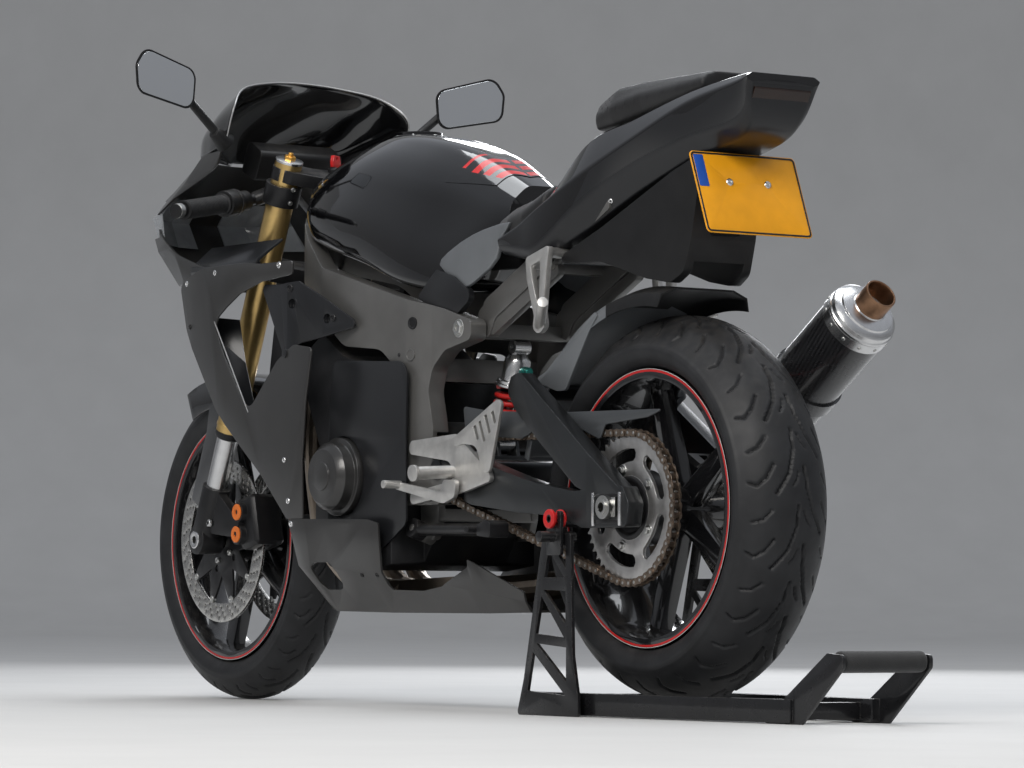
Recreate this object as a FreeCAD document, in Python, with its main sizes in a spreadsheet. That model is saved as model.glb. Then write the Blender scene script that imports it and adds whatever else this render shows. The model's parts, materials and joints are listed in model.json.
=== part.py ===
import FreeCAD, Part
import math
import os
import Sketcher
from FreeCAD import Placement, Rotation, Vector

# A sport bike on its paddock stand, in millimetres. X points forward, Y to the rider's left, Z up.
# All places are measured from the ground point below the rear axle. The placement of each piece
# then brings the origin to the middle of the bike's box, at the ground.

SIZES = (
    ("wheelbase", 1385.0),
    ("rear_axle_to_origin", 570.0),
    ("rear_axle_height", 338.0),
    ("front_axle_height", 300.0),
    ("front_tyre_radius", 300.0),
    ("front_tyre_half", 57.0),
    ("rear_tyre_radius", 315.0),
    ("rear_tyre_half", 90.0),
    ("bead_radius", 218.0),
    ("bead_gap", 0.3),
    ("flange_radius", 226.0),
    ("front_rim_half", 50.0),
    ("rear_rim_half", 76.0),
    ("flange_wall", 6.0),
    ("rim_wall", 7.0),
    ("well_depth", 16.0),
    ("spoke_width", 34.0),
    ("spoke_thick", 26.0),
    ("spoke_count", 5.0),
    ("hub_radius", 38.0),
    ("front_hub_half", 52.0),
    ("rear_hub_half", 70.0),
    ("front_axle_radius", 11.0),
    ("rear_axle_radius", 12.5),
    ("axle_bore_radius", 7.0),
    ("rear_axle_bore_radius", 8.0),
    ("running_gap", 0.08),
    ("front_disc_radius", 155.0),
    ("front_disc_inner", 120.0),
    ("front_disc_plane", 66.0),
    ("disc_thick", 5.0),
    ("rear_disc_radius", 110.0),
    ("rear_disc_plane", 98.0),
    ("sprocket_plane", 105.0),
    ("sprocket_thick", 6.5),
    ("sprocket_teeth", 48.0),
    ("front_sprocket_teeth", 16.0),
    ("chain_pitch", 15.875),
    ("chain_width", 17.0),
    ("rake_angle", 23.3),
    ("steering_x_at_ground", 1479.0),
    ("fork_offset", 35.0),
    ("fork_spread", 102.0),
    ("sleeve_radius", 25.5),
    ("leg_radius", 20.5),
    ("top_clamp_height", 945.0),
    ("clamp_thick", 24.0),
    ("head_tube_length", 150.0),
    ("stem_radius", 15.0),
    ("stem_bore_radius", 9.0),
    ("head_tube_radius", 32.0),
    ("spar_wall", 32.0),
    ("pivot_x", 541.0),
    ("pivot_height", 412.0),
    ("panel_wall", 4.0),
    ("can_radius", 58.0),
    ("can_length", 330.0),
    ("can_plane", 178.0),
    ("can_slope", 34.0),
    ("outlet_radius", 26.0),
    ("outlet_bore_radius", 23.0),
    ("stand_half", 150.0),
    ("stand_rear_half", 80.0),
    ("stand_wall", 6.0),
    ("bar_radius", 11.0),
    ("grip_radius", 16.5),
    ("plate_width", 210.0),
    ("plate_height", 143.0),
    ("plate_thick", 2.0),
    ("mirror_half", 330.0),
)

doc = FreeCAD.newDocument("sport_bike")
sheet = doc.addObject("Spreadsheet::Sheet", "Sizes")
for row, (alias, value) in enumerate(SIZES, start=1):
    sheet.set("A%d" % row, alias)
    sheet.set("B%d" % row, "%g" % value)
    sheet.setAlias("B%d" % row, alias)
doc.recompute()

pieces = []


def size(alias):
    return float(sheet.get(alias))


WHEELBASE = size("wheelbase")
REAR_Z = size("rear_axle_height")
FRONT_Z = size("front_axle_height")
RAKE = math.radians(size("rake_angle"))
UP_FORK = Vector(-math.sin(RAKE), 0, math.cos(RAKE))
FORE_FORK = Vector(math.cos(RAKE), 0, math.sin(RAKE))
GAP = 0.3
ALONG_Y = Vector(0, 1, 0)
PIVOT = Vector(size("pivot_x"), 0, size("pivot_height"))


def keep(piece, label):
    """Names a finished piece and brings it from the rear axle's frame to the bike's own origin."""
    piece.Label = label
    ahead = piece.Placement.Base.x
    piece.Placement.Base.x = ahead - size("rear_axle_to_origin")
    piece.setExpression("Placement.Base.x", "%.6f - Sizes.rear_axle_to_origin" % ahead)
    pieces.append(piece)
    return piece


def feature(label, shape):
    piece = doc.addObject("Part::Feature", label)
    piece.Shape = shape
    return keep(piece, label)


def solids(*shapes):
    """One shape of all the solids given, each left as it is."""
    parts = []
    for shape in shapes:
        parts.extend(shape.Solids)
    return parts[0] if len(parts) == 1 else Part.makeCompound(parts)


def mirrored(shape):
    return shape.mirror(Vector(0, 0, 0), ALONG_Y)


def pair(shape):
    return solids(shape, mirrored(shape))


def fused(first, *others):
    result = first
    for other in others:
        result = result.fuse(other)
    return result.removeSplitter()


def outline(points):
    """A closed flat wire. Each point is (place, corner radius), and corners are tangent arcs."""
    count = len(points)
    edges = []
    ends = []
    for index, (place, radius) in enumerate(points):
        before = points[index - 1][0]
        after = points[(index + 1) % count][0]
        to_before = (before - place).normalize()
        to_after = (after - place).normalize()
        half = to_before.getAngle(to_after) / 2
        if radius <= 0 or half > math.radians(89.5):
            ends.append((place, place))
            continue
        reach = radius / math.tan(half)
        longest = 0.49 * min((before - place).Length, (after - place).Length)
        reach = min(reach, longest)
        fit = reach * math.tan(half)
        start = place + to_before * reach
        end = place + to_after * reach
        inward = (to_before + to_after).normalize()
        middle = place + inward * (fit / math.sin(half) - fit)
        edges.append((index, Part.Arc(start, middle, end).toShape()))
        ends.append((start, end))
    arcs = dict(edges)
    run = []
    for index in range(count):
        if index in arcs:
            run.append(arcs[index])
        start = ends[index][1]
        end = ends[(index + 1) % count][0]
        if (end - start).Length > 1e-6:
            run.append(Part.LineSegment(start, end).toShape())
    return Part.Wire(run)


def corner_list(rows, place):
    """Points for outline() from rows of (u, v) or (u, v, corner radius)."""
    return [(place(row[0], row[1]), row[2] if len(row) > 2 else 0) for row in rows]


def side_plate(rows, y_from, y_to):
    """A plate with its outline seen from the side: rows of (x, z, corner radius)."""
    wire = outline(corner_list(rows, lambda x, z: Vector(x, y_from, z)))
    return Part.Face(wire).extrude(Vector(0, y_to - y_from, 0))


def plan_plate(rows, z_from, z_to):
    """A plate with its outline seen from above: rows of (x, y, corner radius)."""
    wire = outline(corner_list(rows, lambda x, y: Vector(x, y, z_from)))
    return Part.Face(wire).extrude(Vector(0, 0, z_to - z_from))


def front_plate(rows, x_from, x_to):
    """A plate with its outline seen from the front: rows of (y, z, corner radius)."""
    wire = outline(corner_list(rows, lambda y, z: Vector(x_from, y, z)))
    return Part.Face(wire).extrude(Vector(x_to - x_from, 0, 0))


def rod(start, end, radius):
    way = end - start
    return Part.makeCylinder(radius, way.Length, start, way)


def pipe(start, end, radius, bore):
    return rod(start, end, radius).cut(rod(start, end, bore))


def triangle(a, b, c):
    return Part.Face(Part.makePolygon([a, b, c, a]))


def closed_solid(faces):
    shell = Part.makeShell(faces)
    shell.sewShape()
    solid = Part.makeSolid(shell)
    if solid.Volume < 0:
        solid.reverse()
    return solid


def tube(route, radius, share=0.45):
    """A bar along straight runs joined by tangent bends, its section a regular polygon."""
    sides, steps = 14, 3
    stations = [(route[0], (route[1] - route[0]).normalize())]
    for index in range(1, len(route) - 1):
        place = route[index]
        to_before = (route[index - 1] - place).normalize()
        to_after = (route[index + 1] - place).normalize()
        half = to_before.getAngle(to_after) / 2
        shorter = min((route[index - 1] - place).Length, (route[index + 1] - place).Length)
        reach = share * shorter
        inward = (to_before + to_after).normalize()
        centre = place + inward * (reach * math.tan(half) / math.sin(half))
        spoke = place + to_before * reach - centre
        axis = to_after.cross(to_before)
        for step in range(steps + 1):
            turn = Rotation(axis, (180 - 2 * math.degrees(half)) * step / steps)
            stations.append((centre + turn.multVec(spoke), turn.multVec(to_before * -1)))
    stations.append((route[-1], (route[-1] - route[-2]).normalize()))
    rings = []
    across = stations[0][1].cross(Vector(0.3, 0.5, 0.8)).normalize()
    for place, way in stations:
        across = (across - way * across.dot(way)).normalize()
        other = way.cross(across)
        rings.append([place + across * (radius * math.cos(2 * math.pi * i / sides))
                      + other * (radius * math.sin(2 * math.pi * i / sides))
                      for i in range(sides)])
    faces = [Part.Face(ring_wire(rings[0])), Part.Face(ring_wire(rings[-1]))]
    for near, far in zip(rings, rings[1:]):
        for i in range(sides):
            j = (i + 1) % sides
            faces.append(triangle(near[i], near[j], far[j]))
            faces.append(triangle(near[i], far[j], far[i]))
    return closed_solid(faces)


def loft(wires, ruled=True):
    return Part.makeLoft(wires, True, ruled)


def ring_wire(points):
    return Part.makePolygon(list(points) + [points[0]])


def bound(piece, **expressions):
    for name, expression in expressions.items():
        piece.setExpression(name, expression)


def cylinder(name, radius, length, start, way):
    """A cylinder whose radius and length are tied to the sheet."""
    piece = doc.addObject("Part::Cylinder", name)
    bound(piece, Radius=radius, Height=length)
    piece.Placement = Placement(start, Rotation(Vector(0, 0, 1), way))
    return piece


def group(name, children):
    piece = doc.addObject("Part::Compound", name)
    piece.Links = children
    return piece


def origin_plane(body, role):
    for item in body.Origin.OriginFeatures:
        if item.Role == role:
            return item
    return None


def sketch(body, name, role, points):
    """A closed polygon whose corners are pairs of expressions, each tied to the sheet."""
    drawing = body.newObject("Sketcher::SketchObject", name)
    drawing.AttachmentSupport = [(origin_plane(body, role), "")]
    drawing.MapMode = "FlatFace"
    count = len(points)
    first = [
        Vector(math.cos(2 * math.pi * i / count), math.sin(2 * math.pi * i / count), 0) * 100
        for i in range(count)
    ]
    for i in range(count):
        drawing.addGeometry(Part.LineSegment(first[i], first[(i + 1) % count]), False)
    for i in range(count):
        drawing.addConstraint(Sketcher.Constraint("Coincident", i, 2, (i + 1) % count, 1))
    for i, (across, along) in enumerate(points):
        for kind, expression, rough in (
            ("DistanceX", across, first[i].x),
            ("DistanceY", along, first[i].y),
        ):
            index = drawing.addConstraint(Sketcher.Constraint(kind, i, 1, rough))
            drawing.setExpression("Constraints[%d]" % index, expression)
    return drawing


def revolved(body, name, drawing):
    """A full turn about the body's own Y axis, which is the axle."""
    turn = body.newObject("PartDesign::Revolution", name)
    turn.Profile = drawing
    turn.ReferenceAxis = (drawing, ["V_Axis"])
    turn.Angle = 360
    return turn


def wheel_body(label, x_expression, z_expression):
    body = doc.addObject("PartDesign::Body", label)
    body.Label = label
    body.setExpression("Placement.Base.x", x_expression + " - Sizes.rear_axle_to_origin")
    body.setExpression("Placement.Base.z", z_expression)
    pieces.append(body)
    return body


def half_profile(half, rows):
    """Mirrors rows of (radius, share along the axle) across the wheel's plane."""
    left = [(radius, "%s * (%g)" % (half, share)) for radius, share in rows]
    right = [(radius, "%s * (%g)" % (half, -share)) for radius, share in reversed(rows) if share]
    return left + right


# Each end of the bike: name, x and z of its axle, rim half width, hub half width, axle radius.
WHEELS = (
    ("front", "Sizes.wheelbase", "Sizes.front_axle_height", "Sizes.front_rim_half",
     "Sizes.front_hub_half", "Sizes.front_axle_radius"),
    ("rear", "0 * Sizes.wheelbase", "Sizes.rear_axle_height", "Sizes.rear_rim_half",
     "Sizes.rear_hub_half", "Sizes.rear_axle_radius"),
)


def make_rim(end, x_at, z_at, rim_half, hub_half, axle):
    body = wheel_body(end + "_rim", x_at, z_at)
    flange, bead = "Sizes.flange_radius", "Sizes.bead_radius"
    shelf = rim_half + " - Sizes.flange_wall"
    well = bead + " - Sizes.well_depth"
    barrel = sketch(body, end + "_barrel_profile", "XY_Plane", [
        (flange, rim_half), (flange, shelf), (bead, shelf), (bead, "-(" + shelf + ")"),
        (flange, "-(" + shelf + ")"), (flange, "-(" + rim_half + ")"),
        (bead + " - Sizes.rim_wall", "-(" + rim_half + ")"),
        (well, "-(" + rim_half + " * 0.3)"), (well, rim_half + " * 0.3"),
        (bead + " - Sizes.rim_wall", rim_half),
    ])
    revolved(body, end + "_barrel", barrel)
    hub = sketch(body, end + "_hub_profile", "XY_Plane", [
        (axle + " + Sizes.running_gap", hub_half),
        (axle + " + Sizes.running_gap", "-(" + hub_half + ")"),
        ("Sizes.hub_radius", "-(" + hub_half + ")"), ("Sizes.hub_radius", hub_half),
    ])
    revolved(body, end + "_hub", hub)
    wide, narrow = "Sizes.spoke_width * 0.62", "Sizes.spoke_width * 0.42"
    arm = sketch(body, end + "_spoke_outline", "XZ_Plane", [
        ("Sizes.hub_radius * 0.86", wide), ("Sizes.hub_radius * 0.86", "-(" + wide + ")"),
        (well + " + 2", "-(" + narrow + ")"), (well + " + 2", narrow),
    ])
    spoke = body.newObject("PartDesign::Pad", end + "_spoke")
    spoke.Profile = arm
    spoke.Midplane = True
    spoke.setExpression("Length", "Sizes.spoke_thick")
    turn = body.newObject("PartDesign::PolarPattern", end + "_spokes")
    turn.Originals = [spoke]
    turn.Axis = (origin_plane(body, "Y_Axis"), [""])
    turn.Angle = 360
    turn.setExpression("Occurrences", "Sizes.spoke_count")
    body.Tip = turn
    return body


# Half of each tyre's section: radius from the axle, and share of the half width.
FRONT_TYRE = (
    ("Sizes.bead_radius + Sizes.bead_gap", 0.76), ("Sizes.flange_radius + 2", 0.765),
    ("Sizes.front_tyre_radius - 55", 0.95), ("Sizes.front_tyre_radius - 42", 1.0),
    ("Sizes.front_tyre_radius - 33", 0.93), ("Sizes.front_tyre_radius - 21", 0.79),
    ("Sizes.front_tyre_radius - 10.5", 0.61), ("Sizes.front_tyre_radius - 3.5", 0.36),
    ("Sizes.front_tyre_radius", 0.12),
)
REAR_TYRE = (
    ("Sizes.bead_radius + Sizes.bead_gap", 0.765), ("Sizes.flange_radius + 2", 0.772),
    ("Sizes.rear_tyre_radius - 72", 0.95), ("Sizes.rear_tyre_radius - 60", 1.0),
    ("Sizes.rear_tyre_radius - 48", 0.94), ("Sizes.rear_tyre_radius - 36", 0.83),
    ("Sizes.rear_tyre_radius - 20", 0.65), ("Sizes.rear_tyre_radius - 8", 0.43),
    ("Sizes.rear_tyre_radius", 0.14),
)


def make_tyre(end, x_at, z_at, half, rows):
    body = wheel_body(end + "_tyre", x_at, z_at)
    profile = sketch(body, end + "_tyre_profile", "XY_Plane", half_profile(half, rows))
    body.Tip = revolved(body, end + "_tyre_ring", profile)
    return body


for end_row in WHEELS:
    make_rim(*end_row)
make_tyre("front", "Sizes.wheelbase", "Sizes.front_axle_height", "Sizes.front_tyre_half",
          FRONT_TYRE)
make_tyre("rear", "0 * Sizes.wheelbase", "Sizes.rear_axle_height", "Sizes.rear_tyre_half",
          REAR_TYRE)


def disc(centre, plane, radius, inner, carrier_holes):
    """A brake disc's drilled ring with the spider that carries it."""
    thick = size("disc_thick")
    start = centre + ALONG_Y * (plane - thick / 2)
    ring = Part.makeCylinder(radius, thick, start, ALONG_Y)
    bore = Part.makeCylinder(inner, thick, start, ALONG_Y)
    flat = ring.cut(bore)
    arms = []
    for index in range(carrier_holes):
        angle = 2 * math.pi * index / carrier_holes
        arm = Part.makeBox(inner + 8 - size("hub_radius"), thick, 9,
                           start + Vector(size("hub_radius") - 4, 0, -4.5))
        arm.rotate(start, ALONG_Y, math.degrees(angle))
        arms.append(arm)
    return fused(flat, *arms)


front_axle = Vector(WHEELBASE, 0, FRONT_Z)
rear_axle = Vector(0, 0, REAR_Z)


def disc_with_hub(centre, plane, radius, inner, arms, hub_half, bore, sign):
    """The disc, and the boss that bolts it to the wheel's hub."""
    out = plane + size("disc_thick") / 2
    start = centre + ALONG_Y * hub_half
    boss = pipe(start, centre + ALONG_Y * out, size("hub_radius") + 6, bore)
    whole = fused(disc(centre, plane, radius, inner, arms), boss)
    return whole if sign > 0 else mirrored(whole)


front_disc = disc_with_hub(front_axle, size("front_disc_plane"), size("front_disc_radius"),
                           size("front_disc_inner"), 10, size("front_hub_half"),
                           size("front_axle_radius") + 6, 1)
feature("front_discs", pair(front_disc))
feature("rear_disc", disc_with_hub(rear_axle, size("rear_disc_plane"), size("rear_disc_radius"),
                                   80, 8, size("rear_hub_half"),
                                   size("rear_axle_radius") + 6, -1))


def sprocket(centre, teeth, thick, plane, hole_rows):
    """A chain wheel: one tooth per pitch, rounded gullets drawn as short straight runs."""
    pitch_radius = size("chain_pitch") / (2 * math.sin(math.pi / teeth))
    points = []
    # Tooth flank: share of a pitch from the gullet, and height from the pitch circle.
    for index in range(int(teeth)):
        for share, lift in ((-0.2, -4.2), (0.2, -4.2), (0.36, 2.0), (0.64, 2.0)):
            angle = 2 * math.pi * (index + share) / teeth
            reach = pitch_radius + lift
            points.append(Vector(centre.x + reach * math.cos(angle), plane - thick / 2,
                                 centre.z + reach * math.sin(angle)))
    body = Part.Face(ring_wire(points)).extrude(ALONG_Y * thick)
    for count, ring_radius, hole_radius in hole_rows:
        for index in range(count):
            angle = 2 * math.pi * (index + 0.5) / count
            start = centre + Vector(ring_radius * math.cos(angle), plane - thick,
                                    ring_radius * math.sin(angle))
            body = body.cut(Part.makeCylinder(hole_radius, 2 * thick, start, ALONG_Y))
    return body


plane = size("sprocket_plane")
rear_teeth = size("sprocket_teeth")
# Lightening holes: how many, on which radius, hole radius.
rear_sprocket = sprocket(rear_axle, rear_teeth, size("sprocket_thick"), plane, ((5, 84, 20),))
carrier = rod(rear_axle + ALONG_Y * size("rear_hub_half"),
              rear_axle + ALONG_Y * (plane - size("sprocket_thick") / 2), 60)
carrier_nose = rod(rear_axle + ALONG_Y * (plane - size("sprocket_thick")),
                   rear_axle + ALONG_Y * (plane + size("sprocket_thick") / 2), 52)
axle_hole = rod(rear_axle, rear_axle + ALONG_Y * 200, size("rear_axle_radius") + 6)
rear_sprocket = fused(rear_sprocket, carrier, carrier_nose).cut(axle_hole)
feature("rear_sprocket", rear_sprocket)

front_sprocket_centre = Vector(600, 0, 425)
front_teeth = size("front_sprocket_teeth")
front_sprocket = sprocket(front_sprocket_centre, front_teeth, size("sprocket_thick"), plane, ())
output_shaft = rod(front_sprocket_centre + ALONG_Y * 60,
                   front_sprocket_centre + ALONG_Y * (plane + 12), 14)


def chain_loop():
    """The chain as one closed band of waisted plates round both chain wheels."""
    pitch = size("chain_pitch")
    back = pitch / (2 * math.sin(math.pi / rear_teeth))
    fore = pitch / (2 * math.sin(math.pi / front_teeth))
    way = front_sprocket_centre - rear_axle
    tilt = math.atan2(way.z, way.x)
    lean = math.asin((back - fore) / way.Length)
    top = tilt + math.pi / 2 - lean
    low = tilt - math.pi / 2 + lean

    def arc(centre, radius, start, sweep, count):
        rows = []
        for index in range(count):
            angle = start + sweep * index / count
            rows.append((centre + Vector(radius * math.cos(angle), 0, radius * math.sin(angle)),
                         Vector(math.cos(angle), 0, math.sin(angle))))
        return rows

    def straight(start, end, out, count):
        return [(start + (end - start) * (index / count), out) for index in range(count)]

    out_top = Vector(math.cos(top), 0, math.sin(top))
    out_low = Vector(math.cos(low), 0, math.sin(low))
    top_back, top_fore = rear_axle + out_top * back, front_sprocket_centre + out_top * fore
    low_back, low_fore = rear_axle + out_low * back, front_sprocket_centre + out_low * fore
    span = (top_fore - top_back).Length
    half_count = int(round(2 * span / pitch))
    back_sweep = 2 * math.pi - (top - low)
    fore_sweep = top - low
    rows = arc(rear_axle, back, top, back_sweep, int(round(2 * back * back_sweep / pitch)))
    rows += straight(low_back, low_fore, out_low, half_count)
    rows += arc(front_sprocket_centre, fore, low, fore_sweep,
                2 * int(round(fore * fore_sweep / pitch)))
    rows += straight(top_fore, top_back, out_top, half_count)
    if len(rows) % 2:
        rows.pop()
    lobe, waist = 7.0, 5.4
    outer = []
    inner = []
    for index, (place, out) in enumerate(rows):
        reach = lobe if index % 2 == 0 else waist
        outer.append(place + out * reach)
        inner.append(place - out * reach)
    lift = ALONG_Y * (plane - size("chain_width") / 2)
    faces = [Part.Face(ring_wire([p + lift for p in line])) for line in (outer, inner)]
    return faces[0].cut(faces[1]).extrude(ALONG_Y * size("chain_width"))


chain = chain_loop()
groove_thick = size("sprocket_thick") + 1.2
for centre, teeth in ((rear_axle, rear_teeth), (front_sprocket_centre, front_teeth)):
    tip = size("chain_pitch") / (2 * math.sin(math.pi / teeth)) + 2.6
    chain = chain.cut(Part.makeCylinder(tip, groove_thick,
                                        centre + ALONG_Y * (plane - groove_thick / 2), ALONG_Y))
feature("drive_chain", chain)


def chain_room():
    """Space that frame and swingarm leave to the chain's two runs and the front sprocket."""
    near, far = plane - 15, plane + 14
    wheel_room = rod(front_sprocket_centre + ALONG_Y * near, front_sprocket_centre + ALONG_Y * far,
                     54)
    low_run = side_plate(((380, 310, 0), (604, 372, 0), (604, 397, 0), (380, 335, 0)), near, far)
    top_run = side_plate(((380, 451, 0), (604, 453, 0), (604, 478, 0), (380, 475, 0)), near, far)
    return fused(wheel_room, low_run, top_run)


CHAIN_ROOM = chain_room()
STAND_PIVOT = Vector(609, 125, 310)
STAND_FOOT = Vector(330, 150, 306)
STAND_AXIS = Vector(0, 0.952, 0.306)


def steer(along, across, fore):
    """A place in the fork's own frame: along the steering axis, across, and ahead of it."""
    root_x = size("steering_x_at_ground") - math.tan(RAKE) * size("top_clamp_height")
    top = Vector(root_x, 0, size("top_clamp_height"))
    return top + UP_FORK * along + Vector(0, across, 0) + FORE_FORK * fore


SPREAD = size("fork_spread")
OFFSET = size("fork_offset")
AXLE_ALONG = (FRONT_Z - size("top_clamp_height")) / math.cos(RAKE) - OFFSET * math.tan(RAKE)
LOWER_CLAMP = -size("head_tube_length") - size("clamp_thick") - 14
# The head tube's two ends, measured along the steering axis.
HEAD_FROM = -size("head_tube_length") - 6 + GAP
HEAD_TO = -7


def fork_place(along, side=1):
    return steer(along, side * SPREAD, OFFSET)


def clamp(along, thick, ear):
    """A triple clamp: two ears round the fork tubes, joined across the steering stem."""
    low = steer(along, 0, 0)
    rows = ((-34, 0, 20), (-24, 40, 20), (OFFSET - 30, SPREAD + 8, 16),
            (OFFSET + 4, SPREAD + ear, 20), (OFFSET + ear, SPREAD - 2, 20), (38, 46, 12),
            (34, 0, 0))
    points = [(row[0], row[1], row[2]) for row in rows]
    points += [(row[0], -row[1], row[2]) for row in reversed(rows[1:-1])]
    wire = outline([(low + FORE_FORK * fore + Vector(0, across, 0), radius)
                    for fore, across, radius in points])
    plate = Part.Face(wire).extrude(UP_FORK * thick)
    for side in (1, -1):
        hole = rod(steer(along - 1, side * SPREAD, OFFSET),
                   steer(along + thick + 1, side * SPREAD, OFFSET), size("sleeve_radius"))
        plate = plate.cut(hole)
    return plate


top_clamp = clamp(0, size("clamp_thick"), 36)
low_clamp = clamp(LOWER_CLAMP, size("clamp_thick") + 8, 36)
stem = rod(steer(LOWER_CLAMP, 0, 0), steer(size("clamp_thick") + 12, 0, 0), size("stem_radius"))
stem_bore = rod(steer(LOWER_CLAMP - 5, 0, 0), steer(-20, 0, 0), size("stem_bore_radius"))
feature("triple_clamps", fused(top_clamp, low_clamp, stem).cut(stem_bore))

LEG_START = AXLE_ALONG + 68
SLEEVE_START = AXLE_ALONG + 218
sleeve_low = fork_place(SLEEVE_START)
sleeve_top = fork_place(size("clamp_thick") + 14)
sleeves = []
for side_name, side in (("left", 1), ("right", -1)):
    start = fork_place(SLEEVE_START, side)
    outer = cylinder(side_name + "_sleeve_tube", "Sizes.sleeve_radius",
                     "%g" % (sleeve_top - sleeve_low).Length, start, UP_FORK)
    sleeves.append(outer)
keep(group("fork_sleeves", sleeves), "fork_sleeves")

legs = []
for side_name, side in (("left", 1), ("right", -1)):
    start = fork_place(LEG_START, side)
    legs.append(cylinder(side_name + "_leg_tube", "Sizes.leg_radius",
                         "%g" % (SLEEVE_START - LEG_START), start, UP_FORK))
keep(group("fork_legs", legs), "fork_legs")


def fork_foot():
    """The casting at a fork leg's foot: socket, axle clamp and the caliper's two posts."""
    socket = rod(fork_place(AXLE_ALONG - 8), fork_place(LEG_START + 40), 27)
    eye = rod(Vector(WHEELBASE, SPREAD - 24, FRONT_Z), Vector(WHEELBASE, SPREAD + 22, FRONT_Z), 27)
    mount = side_plate(((-150, 30, 8), (-62, 92, 10), (-14, 96, 8), (-14, 16, 8), (-60, 10, 10),
                        (-128, 4, 8)), SPREAD - 8, SPREAD + 10)
    mount.translate(Vector(WHEELBASE + 10, 0, FRONT_Z))
    foot = fused(socket, eye, mount)
    foot = foot.cut(rod(fork_place(LEG_START), fork_place(LEG_START + 60), size("leg_radius")))
    return foot.cut(rod(Vector(WHEELBASE, 0, FRONT_Z), Vector(WHEELBASE, 200, FRONT_Z),
                        size("front_axle_radius")))


feature("fork_feet", pair(fork_foot()))

axle_half = SPREAD + 26
front_axle_bar = pipe(Vector(WHEELBASE, -axle_half, FRONT_Z), Vector(WHEELBASE, axle_half, FRONT_Z),
                      size("front_axle_radius"), size("axle_bore_radius"))
feature("front_axle", front_axle_bar)


def caliper(centre, angle, reach, plane_at, long, deep, slot):
    """Two caliper halves and the bridge between them, outside the disc's rim."""
    thick = 24
    block = Part.makeBox(deep, 2 * thick + slot, long,
                         Vector(reach - deep + 14, plane_at - thick - slot / 2, -long / 2))
    gap = Part.makeBox(deep - 14 + 6, slot, long + 2,
                       Vector(reach - deep + 8, plane_at - slot / 2, -long / 2 - 1))
    block = block.makeChamfer(7, block.Edges).cut(gap)
    block.rotate(Vector(0, 0, 0), ALONG_Y, -angle)
    block.translate(Vector(centre.x, 0, centre.z))
    return block


front_caliper = caliper(front_axle, 167, size("front_disc_radius") + 6,
                        size("front_disc_plane"), 96, 62, 16)
# The piston housings that stand out of the outer half: place behind and above the axle.
for back, up in ((129, 50), (126, 9)):
    piston_at = front_axle + Vector(-back, size("front_disc_plane") + 28, up)
    front_caliper = fused(front_caliper, rod(piston_at, piston_at + ALONG_Y * 16, 19))
front_caliper = front_caliper.cut(fork_foot())
feature("front_calipers", pair(solids(front_caliper)))


def mudguard():
    """A curved guard over the front tyre with cheeks that reach down to the fork legs."""
    inner_radius = size("front_tyre_radius") + 14
    wall = 3
    cheek = size("front_tyre_half") + 19
    rows = ((inner_radius - 62, cheek), (inner_radius - 8, cheek), (inner_radius + wall, 40),
            (inner_radius + wall, -40), (inner_radius - 8, -cheek), (inner_radius - 62, -cheek),
            (inner_radius - 62, -cheek + wall), (inner_radius - 10, -cheek + wall),
            (inner_radius, -38), (inner_radius, 38), (inner_radius - 10, cheek - wall),
            (inner_radius - 62, cheek - wall))
    face = Part.Face(ring_wire([Vector(radius, across, 0) for radius, across in rows]))
    guard = face.revolve(Vector(0, 0, 0), ALONG_Y, 106)
    guard.rotate(Vector(0, 0, 0), ALONG_Y, -172)
    guard.translate(front_axle)
    reach = inner_radius - 34
    upper = [(reach * math.cos(angle), reach * math.sin(angle), 6)
             for angle in (math.radians(103), math.radians(83))]
    wing = side_plate(upper + [(47, 210, 20), (104, 80, 8), (81, 66, 8), (17, 88, 20),
                               (-35, 170, 40), (-85, 240, 10)], cheek - wall, cheek)
    wing.translate(front_axle)
    return fused(guard, wing, mirrored(wing))


feature("front_mudguard", mudguard())


def bar_point(reach):
    """A place on the left bar's line, measured outwards from the fork tube."""
    line = Vector(-0.40, 0.90, -0.17).normalize()
    return Vector(1163, 130, 926) + line * reach


def clip_on():
    """One handlebar: the clamp on the fork tube, and the bar it carries."""
    tube_axis = fork_place(-34)
    ring = pipe(fork_place(-46), fork_place(-8), size("sleeve_radius") + 8,
                size("sleeve_radius"))
    arm = rod(tube_axis + FORE_FORK * 26 + ALONG_Y * 6, bar_point(4), 14)
    arm = arm.cut(rod(fork_place(-60), fork_place(0), size("sleeve_radius")))
    bar = rod(bar_point(-14), bar_point(232), size("bar_radius"))
    return fused(ring, arm, bar)


clip_on_shape = clip_on()
feature("clip_ons", pair(clip_on_shape))
grip = pipe(bar_point(104), bar_point(226), size("grip_radius"), size("bar_radius"))
bar_end = rod(bar_point(232.2), bar_point(250), 13)


def controls():
    """Switch housing, lever perch and lever of one handlebar."""
    housing = pipe(bar_point(64), bar_point(102), 24, size("bar_radius"))
    perch = pipe(bar_point(34), bar_point(60), 19, size("bar_radius"))
    pivot_at = bar_point(46) + Vector(34, 4, 4)
    post = rod(bar_point(47) + Vector(10, 0, 2), pivot_at, 12)
    post = post.cut(rod(bar_point(20), bar_point(80), size("bar_radius")))
    bend_at = bar_point(90) + Vector(52, 0, 0)
    lever = fused(rod(pivot_at, bend_at, 6), rod(bend_at, bar_point(206) + Vector(50, 0, -2), 6))
    return solids(housing, fused(perch, post, lever))


reservoir_at = Vector(1128, -150, 968)
reservoir = fused(rod(reservoir_at, reservoir_at + Vector(0, 0, 34), 22),
                  rod(reservoir_at + Vector(24, 14, -38), reservoir_at + Vector(0, 0, 1), 5))
reservoir = reservoir.cut(mirrored(clip_on_shape))
reservoir = max(reservoir.Solids, key=lambda one: one.Volume)
feature("hand_controls", solids(pair(controls()), pair(grip), pair(bar_end), reservoir))


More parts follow.
